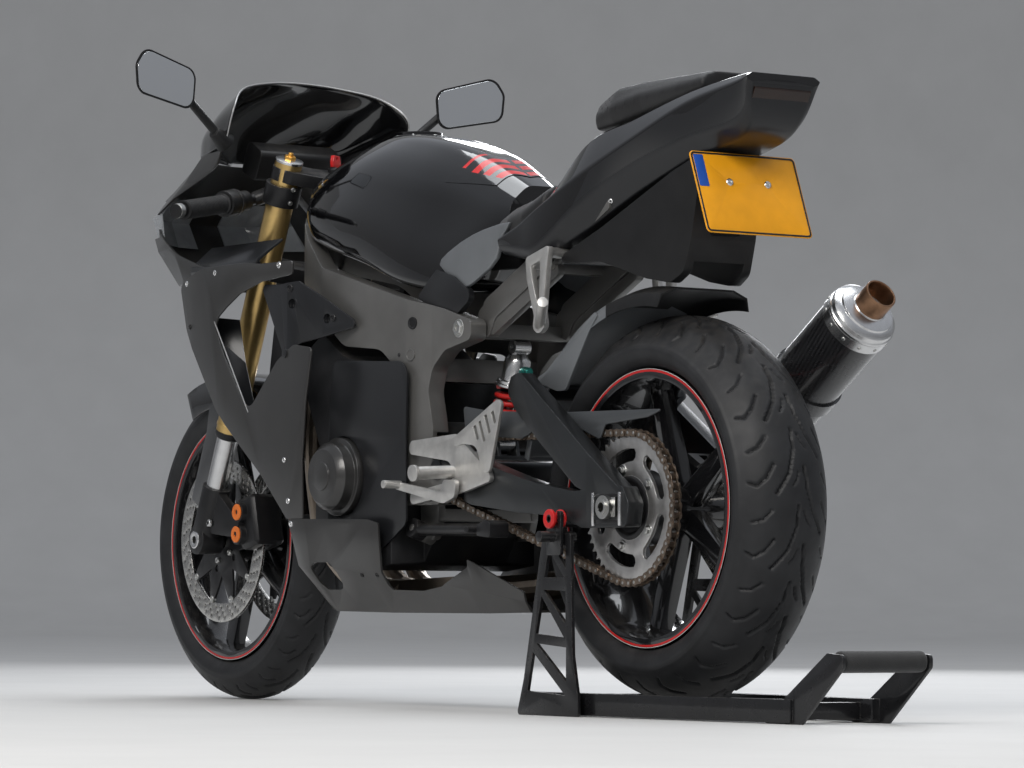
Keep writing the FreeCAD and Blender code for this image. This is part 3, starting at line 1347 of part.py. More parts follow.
# The belly pan along the bike: x, then half width and height of its rim, side and floor.
BELLY = (
    (912, 205, 330.7, 192, 250, 126, 176),
    (862, 202, 330.7, 190, 246, 128, 168),
    (690, 178, 328, 170, 240, 122, 166),
    (560, 166, 298, 158, 226, 116, 166),
    (410, 142, 252, 136, 204, 106, 166),
    (300, 112, 202, 108, 186, 96, 168),
)


def belly_section(row, wall):
    x, rim, rim_z, side, side_z, floor, floor_z = row
    outer = [(rim, rim_z), (side, side_z), (floor, floor_z)]
    inner = [(rim - wall, rim_z), (side - wall, side_z), (floor - wall, floor_z + wall)]
    line = outer + [(-y, z) for y, z in reversed(outer)]
    line += [(-y, z) for y, z in inner] + list(reversed(inner))
    return ring_wire([Vector(x, y, z) for y, z in line])


def belly():
    """The trough under the engine, with an oval opening and room for the side stand."""
    pan = loft([belly_section(row, size("panel_wall")) for row in BELLY])
    vent = side_plate(((792, 206, 20), (862, 206, 20), (862, 254, 20), (792, 254, 20)), 120, 240)
    stand_room = side_plate(((424, 244, 6), (496, 212, 30), (560, 204, 20), (660, 206, 12),
                             (660, 400, 0), (424, 400, 0)), 90, 240)
    front = side_plate(((930, 100, 0), (880, 165, 20), (914, 334, 20), (930, 340, 0)), -240, 240)
    # Where the exhaust comes out over the pan's right rim.
    pipe_room = side_plate(((562, 340, 0), (546, 200, 30), (340, 186, 0), (340, 340, 0)),
                           -240, -90)
    return pan.cut(vent).cut(mirrored(vent)).cut(stand_room).cut(front).cut(pipe_room)


belly_shape = belly().cut(pair(fairing))
feature("belly_pan", solids(max(belly_shape.Solids, key=lambda one: one.Volume)))
inner_cover = max(inner_cover.Solids, key=lambda one: one.Volume)

# The liner inside the fairing's opening: its front edge on the fairing, then its rear edge.
LINER = (((1245, 217.5, 712), (1165, 217.5, 610), (1090, 217.5, 512)),
         ((1170, 158, 702), (1150, 156, 622), (1120, 154, 542)))
liner_top = [[Vector(*point) for point in row] for row in LINER]
liner_under = [[point + Vector(2.4, -2, 0) for point in row] for row in liner_top]
liner = sheet_solid(liner_top, liner_under).cut(fairing)
liner = max(liner.Solids, key=lambda one: one.Volume)
feature("inner_panels", pair(solids(duct, inner_tray, inner_cover, pad, liner)))


def hugger():
    """The guard over the rear tyre's front, on two legs from the swingarm's brace."""
    inner_radius = size("rear_tyre_radius") + 9
    wall = 3
    half = 93
    rows = ((inner_radius + 2, half), (inner_radius + 24, half - 6), (inner_radius + 36, 58),
            (inner_radius + 36, -58), (inner_radius + 24, 6 - half), (inner_radius + 2, -half))
    inside = [(radius - wall, across * 0.97) for radius, across in reversed(rows)]
    inside[0] = (inner_radius + 2, -half + wall)
    inside[-1] = (inner_radius + 2, half - wall)
    face = Part.Face(ring_wire([Vector(r, y, 0) for r, y in list(rows) + inside]))
    guard = face.revolve(Vector(0, 0, 0), ALONG_Y, 84)
    guard.rotate(Vector(0, 0, 0), ALONG_Y, -99)
    guard.translate(rear_axle)
    leg = side_plate(((300, 556, 6), (262, 570, 6), (160, 640, 30), (96, 676, 6), (140, 628, 40),
                      (206, 536, 10), (230, 536, 10)), 88, 94)
    return fused(guard, leg, mirrored(leg))


guard_over_tyre = hugger().cut(swingarm_shape).cut(CHAIN_ROOM)
feature("rear_hugger", max(guard_over_tyre.Solids, key=lambda one: one.Volume))

GUARD_SIDE = (
    (478, 519, 6), (400, 508, 20), (160, 498, 60), (-106, 494, 2), (-60, 482, 20), (57, 474, 8),
    (72, 450, 8), (118, 466, 20), (240, 478, 30), (300, 458, 10), (470, 470, 8),
)
guard_face = plane + size("chain_width") / 2 + 1
feature("chain_guard", side_plate(GUARD_SIDE, guard_face, guard_face + 3.2))

shock_low = Vector(528, 0, 458)
shock_top = Vector(480, 0, 624)
shock_way = (shock_top - shock_low).normalize()
COIL_FROM, COIL_TO = 26, 104


def shock():
    """The rear damper: lower eye, rod, spring seats, body and top eye."""
    eye_low = rod(shock_low - ALONG_Y * 16, shock_low + ALONG_Y * 16, 12)
    eye_top = rod(shock_top - ALONG_Y * 16, shock_top + ALONG_Y * 16, 12)
    damper = rod(shock_low, shock_top, 14)
    seat_low = rod(shock_low + shock_way * (COIL_FROM - 7), shock_low + shock_way * COIL_FROM, 33)
    seat_top = rod(shock_low + shock_way * COIL_TO, shock_low + shock_way * (COIL_TO + 10), 33)
    body = rod(shock_low + shock_way * COIL_TO, shock_top - shock_way * 10, 23)
    return fused(eye_low, eye_top, damper, seat_low, seat_top, body)


def coil_stack():
    """The spring as one turned piece with a groove between its coils."""
    coils = 4
    bottom, top = COIL_FROM + GAP, COIL_TO - GAP
    pitch = (top - bottom) / coils
    line = [Vector(18, 0, bottom)]
    for index in range(coils):
        low = bottom + index * pitch
        line += [Vector(31, 0, low), Vector(31, 0, low + pitch * 0.6),
                 Vector(24, 0, low + pitch * 0.8)]
    line += [Vector(31, 0, top), Vector(18, 0, top)]
    spring = Part.Face(ring_wire(line)).revolve(Vector(0, 0, 0), Vector(0, 0, 1), 360)
    spring.Placement = Placement(shock_low, Rotation(Vector(0, 0, 1), shock_way))
    return spring


feature("shock_absorber", solids(shock(), coil_stack()))

half_gap = 8
outboard = PLATE_IN - GAP - size("rear_disc_plane") - half_gap
rear_caliper = caliper(rear_axle, 28, size("rear_disc_radius") + 6, -size("rear_disc_plane"),
                       84, 52, 2 * half_gap)
caliper_room = Part.makeBox(600, outboard + half_gap + 40, 600,
                            Vector(-300, -119.7, 0))
feature("rear_caliper", rear_caliper.common(caliper_room))


def heel_plate():
    """The left footrest: its arms from the frame, slotted heel guard, hanger and peg."""
    face = 150
    guard = side_plate(((303, 518, 8), (316, 524, 8), (452, 462, 20), (446, 448, 10),
                        (420, 452, 24), (378, 448, 24), (360, 400, 20), (338, 404, 10)),
                       face, face + 6)
    # The slots that pierce the guard: place of each one's lower end, then its length.
    for x, z, long in ((322, 484, 22), (338, 468, 34), (354, 454, 38), (374, 458, 26)):
        slit = Part.makeBox(8, 20, long, Vector(x - 4, face - 5, z))
        slit.rotate(Vector(x, face, z), ALONG_Y, 24)
        guard = guard.cut(slit)
    hanger = side_plate(((350, 404, 8), (452, 470, 10), (596, 462, 12), (600, 440, 12),
                         (470, 424, 20), (452, 392, 14), (596, 372, 12), (592, 352, 12),
                         (420, 372, 12), (344, 388, 8)), face - 9, face)
    bosses = [rod(Vector(x, SPAR_PLAN[6][1], z), Vector(x, face - 7, z), 11)
              for x, z in ((586, 450), (584, 364))]
    peg = rod(Vector(462, face - 4, 406), Vector(456, face + 78, 402), 11)
    peg_tip = rod(Vector(456, face + 78, 402), Vector(455.6, face + 84, 401.6), 14)
    return fused(guard, hanger, *bosses, peg, peg_tip)


footrest = heel_plate().cut(frame_shape)
footrest = max(footrest.Solids, key=lambda one: one.Volume)

PEDAL_FACE = 163
pedal = fused(
    side_plate(((430, 392, 8), (470, 392, 8), (478, 372, 8), (620, 392, 10), (624, 380, 6),
                (470, 352, 20), (436, 362, 10)), 154.6, PEDAL_FACE),
    rod(Vector(452, 150 + GAP, 380), Vector(452, 156, 380), 9),
    rod(Vector(612, PEDAL_FACE - 4, 387), Vector(610, PEDAL_FACE + 32, 387), 7))
feature("rider_footrests", pair(solids(footrest, pedal)))


def pillion_rest():
    """The left pillion footrest: a forked hanger below the tail and the folded peg."""
    arms = side_plate(((196, 776, 6), (266, 758, 8), (262, 722, 10), (240, 660, 6), (244, 640, 10),
                       (228, 628, 14), (208, 640, 12), (214, 664, 10), (204, 740, 10)), 124, 134)
    opening = side_plate(((222, 752, 4), (250, 744, 4), (246, 722, 4), (230, 676, 4),
                          (226, 676, 4)), 110, 150)
    lugs = [rod(Vector(x, 80, z), Vector(x, 130, z), 9) for x, z in ((254, 748), (210, 764))]
    peg = rod(Vector(228, 130, 644), Vector(152, 176, 676), 9)
    return fused(arms.cut(opening), *lugs, peg)


rest = pillion_rest().cut(tail_shape).cut(subframe_shape).cut(tray_shape)
feature("pillion_footrests", pair(solids(max(rest.Solids, key=lambda one: one.Volume))))

stand_eye = rod(STAND_PIVOT - STAND_AXIS * 12, STAND_PIVOT + STAND_AXIS * 12, 17)
stand_leg = rod(STAND_PIVOT, STAND_FOOT, 10.5)
stand_pad = side_plate(((346, 296, 6), (346, 314, 6), (318, 322, 6), (306, 316, 6),
                        (306, 292, 6)), 138, 176)
stand_tang = rod(Vector(370, 146, 306.5), Vector(362, 186, 306), 5)
side_stand = fused(stand_eye, stand_leg, stand_pad, stand_tang)
side_stand = side_stand.cut(rod(STAND_PIVOT - STAND_AXIS * 20, STAND_PIVOT + STAND_AXIS * 20,
                                6 + size("running_gap")))
feature("side_stand", side_stand)


def stand_upright():
    """One upright of the paddock stand, its plate pierced by triangles and round holes."""
    half, wall = size("stand_half"), size("stand_wall")
    plate_rows = ((252, 0, 6), (232, 60, 30), (178, 298, 6), (98, 298, 6), (92, 100, 30),
                  (76, 30, 20), (76, 0, 6))
    plate = side_plate(plate_rows, half, half + wall)
    # Triangular openings: three corners each.
    for corners in (((222, 40), (206, 104), (112, 34)), ((110, 56), (196, 118), (110, 112)),
                    ((198, 134), (182, 196), (116, 128)), ((112, 150), (176, 206), (112, 204)),
                    ((174, 226), (162, 272), (116, 226)), ((112, 240), (146, 276), (112, 278))):
        hole = side_plate(corners, half - 5, half + wall + 5)
        plate = plate.cut(hole)
    slide = rod(Vector(132, half - 24, 292), Vector(132, half + 46, 292), 9)
    fork = side_plate(((112, 262, 4), (152, 262, 4), (152, 334, 6), (142, 334, 2), (142, 321, 0),
                       (122, 321, 0), (122, 334, 2), (112, 334, 6)),
                      SPOOL_MIDDLE - 3, SPOOL_MIDDLE + 3)
    fork = fork.cut(rod(Vector(SPOOL.x, half - 20, SPOOL.z), Vector(SPOOL.x, half + 60, SPOOL.z),
                        9 + GAP))
    return fused(plate, slide, fork)


SPOOL_MIDDLE = PLATE_OUT + 11.5


def stand_rail():
    """One bottom rail and the arm that rises from it to the handle."""
    half, rear_half = size("stand_half"), size("stand_rear_half")
    rail = plan_plate(((250, half, 2), (250, half - 28, 2), (-404, rear_half - 14, 2),
                       (-404, rear_half + 14, 2)), 2, 38)
    arm = side_plate(((-330, 2, 6), (-380, 38, 10), (-488, 110, 6), (-526, 108, 8),
                      (-526, 88, 8), (-424, 0, 6), (-340, 0, 4)), rear_half + 2, rear_half + 8)
    return fused(rail, arm)


def paddock_stand():
    half = size("stand_half")
    side = fused(stand_upright(), stand_rail())
    cross_front = Part.makeBox(34, 2 * half, 30, Vector(196, -half, 4))
    cross_rear = Part.makeBox(30, 2 * size("stand_rear_half"), 26,
                              Vector(-372, -size("stand_rear_half"), 6))
    return fused(side, mirrored(side), cross_front, cross_rear)


feature("paddock_stand", paddock_stand())
handle_half = size("stand_rear_half") + 2
handle_start = Vector(-507, -handle_half + GAP, 97)
feature("stand_handle", rod(handle_start, Vector(-507, handle_half - GAP, 97), 17))


doc.recompute()
for item in doc.Objects:
    if "Invalid" in item.State or "Error" in item.State:
        raise RuntimeError("%s did not compute: %s" % (item.Name, item.State))
for piece in pieces:
    if piece.Shape.isNull() or not piece.Shape.isValid() or not piece.Shape.Solids:
        raise RuntimeError("%s has no sound shape" % piece.Label)

os.makedirs("parts", exist_ok=True)
for piece in pieces:
    piece.Shape.exportStep(os.path.join("parts", piece.Label + ".step"))
    print("%-20s %3d solids %9.0f mm3" % (piece.Label, len(piece.Shape.Solids),
                                         piece.Shape.Volume))
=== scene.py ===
"""The looks of the sport bike on its paddock stand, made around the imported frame.

Sizes are in millimetres from the rear axle (x forward, y left, z up), as in the part's source.
at() turns them into metres of the row frame.
"""

import json
import math

import bmesh
import bpy
import numpy as np
from mathutils import Matrix, Vector
from mathutils.bvhtree import BVHTree
from mathutils.geometry import delaunay_2d_cdt


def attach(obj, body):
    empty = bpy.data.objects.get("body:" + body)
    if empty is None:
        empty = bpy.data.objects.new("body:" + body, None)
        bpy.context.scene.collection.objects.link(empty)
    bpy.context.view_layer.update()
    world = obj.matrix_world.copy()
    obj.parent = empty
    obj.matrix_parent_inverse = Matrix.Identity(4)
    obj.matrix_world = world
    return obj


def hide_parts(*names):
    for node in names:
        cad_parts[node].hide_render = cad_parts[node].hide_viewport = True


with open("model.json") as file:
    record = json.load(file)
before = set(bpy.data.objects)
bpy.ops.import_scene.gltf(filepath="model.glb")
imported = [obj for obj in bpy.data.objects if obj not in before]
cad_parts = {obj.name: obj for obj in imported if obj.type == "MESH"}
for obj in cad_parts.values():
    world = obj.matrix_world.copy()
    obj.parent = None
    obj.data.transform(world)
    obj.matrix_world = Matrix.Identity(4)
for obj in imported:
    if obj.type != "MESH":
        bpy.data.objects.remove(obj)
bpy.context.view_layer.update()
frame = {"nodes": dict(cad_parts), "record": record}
NODES = frame["nodes"]
MM = 0.001
AXLE_BACK = 570.0
NODE_SLOT = {part["node"]: part["material_slot"] for part in frame["record"]["subparts"]}
NODE_BODY = {
    node: body for body, names in frame["record"]["behaviour"]["bodies"].items() for node in names
}


def at(x, y, z):
    """A point given in millimetres from the rear axle, in metres of the row frame."""
    return Vector(((x - AXLE_BACK) * MM, y * MM, z * MM))


CAMERA_AT = Vector((-6.088, 4.036, 0.182))
CAMERA_YAW, CAMERA_PITCH, CAMERA_ROLL = math.radians(-33.83), math.radians(3.0), math.radians(0.29)
CAMERA_LENS = 147.66
SENSOR_WIDTH = 36
VIEW_REACH = 60
FOCAL_PIXELS = 4200.0
FRAME_MIDDLE = (512.0, 384.0)


def camera_axes():
    """The photograph's right, up and forward directions."""
    ahead = Vector((
        math.cos(CAMERA_YAW) * math.cos(CAMERA_PITCH),
        math.sin(CAMERA_YAW) * math.cos(CAMERA_PITCH),
        math.sin(CAMERA_PITCH),
    ))
    right = ahead.cross(Vector((0, 0, 1))).normalized()
    up = right.cross(ahead)
    tilt_cos, tilt_sin = math.cos(CAMERA_ROLL), math.sin(CAMERA_ROLL)
    return right * tilt_cos + up * tilt_sin, up * tilt_cos - right * tilt_sin, ahead


def add_camera():
    """The photograph's camera."""
    rolled_right, rolled_up, ahead = camera_axes()
    data = bpy.data.cameras.new("camera")
    data.lens = CAMERA_LENS
    data.sensor_width = SENSOR_WIDTH
    data.clip_end = VIEW_REACH
    camera = bpy.data.objects.new("camera", data)
    turn = Matrix((rolled_right, rolled_up, -ahead)).transposed().to_4x4()
    camera.matrix_world = Matrix.Translation(CAMERA_AT) @ turn
    bpy.context.collection.objects.link(camera)
    bpy.context.scene.camera = camera


def area_light(name, place, target, width, height, power, colour):
    """A soft rectangular lamp that looks at a point."""
    data = bpy.data.lights.new(name, "AREA")
    data.shape = "RECTANGLE"
    data.size, data.size_y = width, height
    data.energy = power
    data.color = colour
    lamp = bpy.data.objects.new(name, data)
    lamp.location = place
    lamp.rotation_euler = (Vector(target) - Vector(place)).to_track_quat("-Z", "Y").to_euler()
    bpy.context.collection.objects.link(lamp)


# Lamps: name, place, target, width, height, watts and colour.
LAMPS = (
    ("key", (-2.6, 3.6, 3.4), (0, 0, 0.6), 2.6, 2.0, 164, (1.0, 0.97, 0.93)),
    ("top", (0.2, -0.4, 4.2), (0, 0, 0.5), 3.4, 2.2, 94, (0.94, 0.97, 1.0)),
    ("back", (3.0, -3.2, 2.2), (0, 0, 0.7), 2.2, 1.8, 70, (0.95, 0.97, 1.0)),
)
SKY_LOW, SKY_HIGH = (0.2, 0.203, 0.21, 1), (0.42, 0.44, 0.48, 1)
FLOOR_COLOUR, FLOOR_GLOW_COLOUR, FLOOR_GLOW = (0.56, 0.556, 0.546), (0.74, 0.74, 0.73, 1), 0.06


def add_light():
    """An even sky and three soft lamps."""
    world = bpy.data.worlds.new("sky")
    bpy.context.scene.world = world
    world.use_nodes = True
    nodes, links = world.node_tree.nodes, world.node_tree.links
    back = nodes["Background"]
    ramp = nodes.new("ShaderNodeValToRGB")
    sepa = nodes.new("ShaderNodeSeparateXYZ")
    coord = nodes.new("ShaderNodeTexCoord")
    links.new(coord.outputs["Generated"], sepa.inputs[0])
    links.new(sepa.outputs["Z"], ramp.inputs["Fac"])
    links.new(ramp.outputs["Color"], back.inputs["Color"])
    low, high = ramp.color_ramp.elements
    low.position, low.color = 0.0, SKY_LOW
    high.position, high.color = 0.6, SKY_HIGH
    back.inputs["Strength"].default_value = 1.0
    bpy.context.scene.view_settings.view_transform = "Standard"
    for lamp in LAMPS:
        area_light(*lamp)


def floor_surface():
    """Pale and plain, with a little light of its own that only sight, mirrors and glass see."""
    material = surface("floor_grey", FLOOR_COLOUR, 0.75, vary=(3.0, 0.03))
    nodes, links = material.node_tree.nodes, material.node_tree.links
    shader = nodes["Principled BSDF"]
    shader.inputs["Emission Color"].default_value = FLOOR_GLOW_COLOUR
    rays = nodes.new("ShaderNodeLightPath")
    share = nodes.new("ShaderNodeMath")
    share.operation = "MULTIPLY"
    share.inputs[1].default_value = FLOOR_GLOW
    seen = rays.outputs["Is Camera Ray"]
    for name in ("Is Glossy Ray", "Is Transmission Ray"):
        either = nodes.new("ShaderNodeMath")
        either.operation = "MAXIMUM"
        links.new(seen, either.inputs[0])
        links.new(rays.outputs[name], either.inputs[1])
        seen = either.outputs[0]
    links.new(seen, share.inputs[0])
    links.new(share.outputs[0], shader.inputs["Emission Strength"])
    return material


def add_floor():
    """A plain pale floor that runs up into a backdrop."""
    bm = bmesh.new()
    half, reach, bend, wall, bend_steps = 26.0, 15.0, 3.0, 12.0, 8
    profile = [(-half, 0.0), (reach, 0.0)]
    for step in range(1, bend_steps + 1):
        angle = math.pi / 2 * step / bend_steps
        profile.append((reach + bend * math.sin(angle), bend * (1 - math.cos(angle))))
    profile.append((reach + bend, wall))
    turn = Matrix.Rotation(CAMERA_YAW, 3, "Z")
    rows = []
    for away, height in profile:
        row = [bm.verts.new(turn @ Vector((away, side, height))) for side in (-half, half)]
        rows.append(row)
    for lower, upper in zip(rows, rows[1:]):
        bm.faces.new((lower[0], upper[0], upper[1], lower[1])).smooth = True
    floor = bpy.data.objects.new("floor", bpy.data.meshes.new("floor"))
    bm.to_mesh(floor.data)
    bm.free()
    floor.data.materials.append(floor_surface())
    bpy.context.collection.objects.link(floor)


class Graph:
    """A small helper that adds and joins shader nodes."""

    def __init__(self, name):
        self.material = bpy.data.materials.new(name)
        self.material.use_nodes = True
        self.nodes = self.material.node_tree.nodes
        self.links = self.material.node_tree.links
        self.shader = self.nodes["Principled BSDF"]

    def add(self, kind, inputs=(), **settings):
        node = self.nodes.new(kind)
        for key, value in settings.items():
            setattr(node, key, value)
        for key, value in dict(inputs).items():
            self.put(node.inputs[key], value)
        return node

    def put(self, socket, value):
        if isinstance(value, bpy.types.NodeSocket):
            self.links.new(value, socket)
        else:
            socket.default_value = value

    def math(self, operation, *values, clamp=False):
        node = self.add("ShaderNodeMath", operation=operation, use_clamp=clamp)
        for socket, value in zip(node.inputs, values):
            self.put(socket, value)
        return node.outputs[0]

    def mix(self, share, first, second):
        node = self.add("ShaderNodeMix", data_type="RGBA")
        self.put(node.inputs[0], share)
        self.put(node.inputs[6], first)
        self.put(node.inputs[7], second)
        return node.outputs[2]

    def place(self, stretch=(1, 1, 1)):
        coord = self.add("ShaderNodeTexCoord")
        mapping = self.add("ShaderNodeMapping", {"Scale": stretch})
        self.links.new(coord.outputs["Object"], mapping.inputs["Vector"])
        return mapping.outputs[0]

    def noise(self, scale, detail=3.0, stretch=(1, 1, 1), rough=0.55):
        node = self.add("ShaderNodeTexNoise", {
            "Vector": self.place(stretch), "Scale": scale, "Detail": detail, "Roughness": rough,
        })
        return node.outputs["Fac"]

    def steps(self, value, low, high):
        node = self.add("ShaderNodeMapRange", {
            "Value": value, "From Min": low, "From Max": high,
        })
        node.clamp = True
        return node.outputs[0]


def rgba(colour):
    return (colour[0], colour[1], colour[2], 1.0)


def surface(name, colour, rough, metal=0.0, coat=0.0, vary=(14.0, 0.12), bump=None, worn=None,
            dust=0.0, rough_vary=0.12, coat_rough=0.03, sheen=0.0):
    """A finish with colour and roughness that vary, a relief, worn edges and settled dust.

    vary is (scale, amount), bump is (kind, scale, depth in millimetres) and worn is a colour.
    """
    g = Graph(name)
    shader = g.shader
    cloud = g.noise(vary[0], 5.0)
    dark = tuple(channel * (1 - vary[1]) for channel in colour)
    light = tuple(min(1.0, channel * (1 + vary[1])) for channel in colour)
    tone = g.mix(g.steps(cloud, 0.3, 0.7), rgba(dark), rgba(light))
    smudge = g.noise(vary[0] * 3.1, 4.0)
    roughness = g.math("ADD", g.math("MULTIPLY", smudge, rough * rough_vary * 2), rough * (1 - rough_vary))
    if worn:
        bevel = g.add("ShaderNodeBevel", {"Radius": 0.0011}, samples=4)
        geometry = g.add("ShaderNodeNewGeometry")
        dot = g.add("ShaderNodeVectorMath", operation="DOT_PRODUCT")
        g.links.new(bevel.outputs[0], dot.inputs[0])
        g.links.new(geometry.outputs["Normal"], dot.inputs[1])
        edge = g.math("SUBTRACT", 1.0, dot.outputs["Value"])
        patchy = g.steps(g.noise(90.0, 4.0), 0.42, 0.62)
        share = g.math("MULTIPLY", g.steps(edge, 0.04, 0.2), patchy, clamp=True)
        tone = g.mix(share, tone, rgba(worn))
    if dust:
        geometry = g.add("ShaderNodeNewGeometry")
        parts = g.add("ShaderNodeSeparateXYZ", {"Vector": geometry.outputs["Normal"]})
        upward = g.steps(parts.outputs["Z"], 0.2, 1.0)
        speck = g.steps(g.noise(60.0, 6.0), 0.35, 0.8)
        share = g.math("MULTIPLY", g.math("MULTIPLY", upward, speck), dust)
        tone = g.mix(share, tone, rgba((0.33, 0.3, 0.26)))
        roughness = g.math("ADD", roughness, g.math("MULTIPLY", share, 0.5), clamp=True)
    g.put(shader.inputs["Base Color"], tone)
    g.put(shader.inputs["Roughness"], roughness)
    shader.inputs["Metallic"].default_value = metal
    shader.inputs["Specular IOR Level"].default_value = 0.5 if metal else 0.3
    shader.inputs["Coat Weight"].default_value = coat
    shader.inputs["Coat Roughness"].default_value = coat_rough
    shader.inputs["Sheen Weight"].default_value = sheen
    rounded = g.add("ShaderNodeBevel", {"Radius": 0.0009}, samples=4).outputs[0]
    g.put(shader.inputs["Normal"], relief(g, rounded, *bump) if bump else rounded)
    return g.material


def relief(g, rounded, kind, scale, depth):
    """A bump normal: brushed, spun, grain or foam, and plain noise for cast and peel."""
    if kind == "brushed":
        height = g.noise(scale, 2.0, (0.04, 1.0, 1.0))
    elif kind == "spun":
        height = g.noise(scale, 2.0, (1.0, 0.03, 1.0))
    elif kind == "grain":
        cells = g.add("ShaderNodeTexVoronoi", {"Vector": g.place(), "Scale": scale})
        cells.feature = "SMOOTH_F1"
        height = g.math("ADD", cells.outputs["Distance"], g.noise(scale * 2.2, 3.0))
    elif kind == "foam":
        cells = g.add("ShaderNodeTexVoronoi", {"Vector": g.place(), "Scale": scale})
        height = g.math("MULTIPLY", cells.outputs["Distance"], -1.0)
    else:
        height = g.noise(scale, 6.0, rough=0.62)
    node = g.add("ShaderNodeBump", {
        "Height": height, "Strength": 1.0, "Distance": depth * MM, "Normal": rounded,
    })
    return node.outputs[0]


def weave(name, dark, light, rough, pitch, coat=0.6):
    """Woven carbon under lacquer: a twill of two tones whose rows shift by one."""
    g = Graph(name)
    split = g.add("ShaderNodeSeparateXYZ", {"Vector": g.place((1 / pitch, 1 / pitch, 1 / pitch))})
    along = g.math("ADD", split.outputs["X"], split.outputs["Y"])
    cell_u = g.math("FLOOR", along)
    cell_v = g.math("FLOOR", split.outputs["Z"])
    turn = g.math("MODULO", g.math("ADD", cell_u, g.math("ADD", cell_v, 4000.0)), 4.0)
    over = g.math("LESS_THAN", turn, 1.5)
    inside = g.math("SINE", g.math("MULTIPLY", split.outputs["Z"], math.pi))
    share = g.math("ADD", g.math("MULTIPLY", over, 0.7), g.math("MULTIPLY", g.math("ABSOLUTE", inside), 0.3))
    g.put(g.shader.inputs["Base Color"], g.mix(share, rgba(dark), rgba(light)))
    g.put(g.shader.inputs["Roughness"], g.math("ADD", rough, g.math("MULTIPLY", g.noise(30.0), 0.1)))
    g.shader.inputs["Coat Weight"].default_value = coat
    g.shader.inputs["Coat Roughness"].default_value = 0.06
    bump = g.add("ShaderNodeBump", {"Height": share, "Distance": 0.00008, "Strength": 0.5})
    g.put(g.shader.inputs["Normal"], bump.outputs[0])
    return g.material


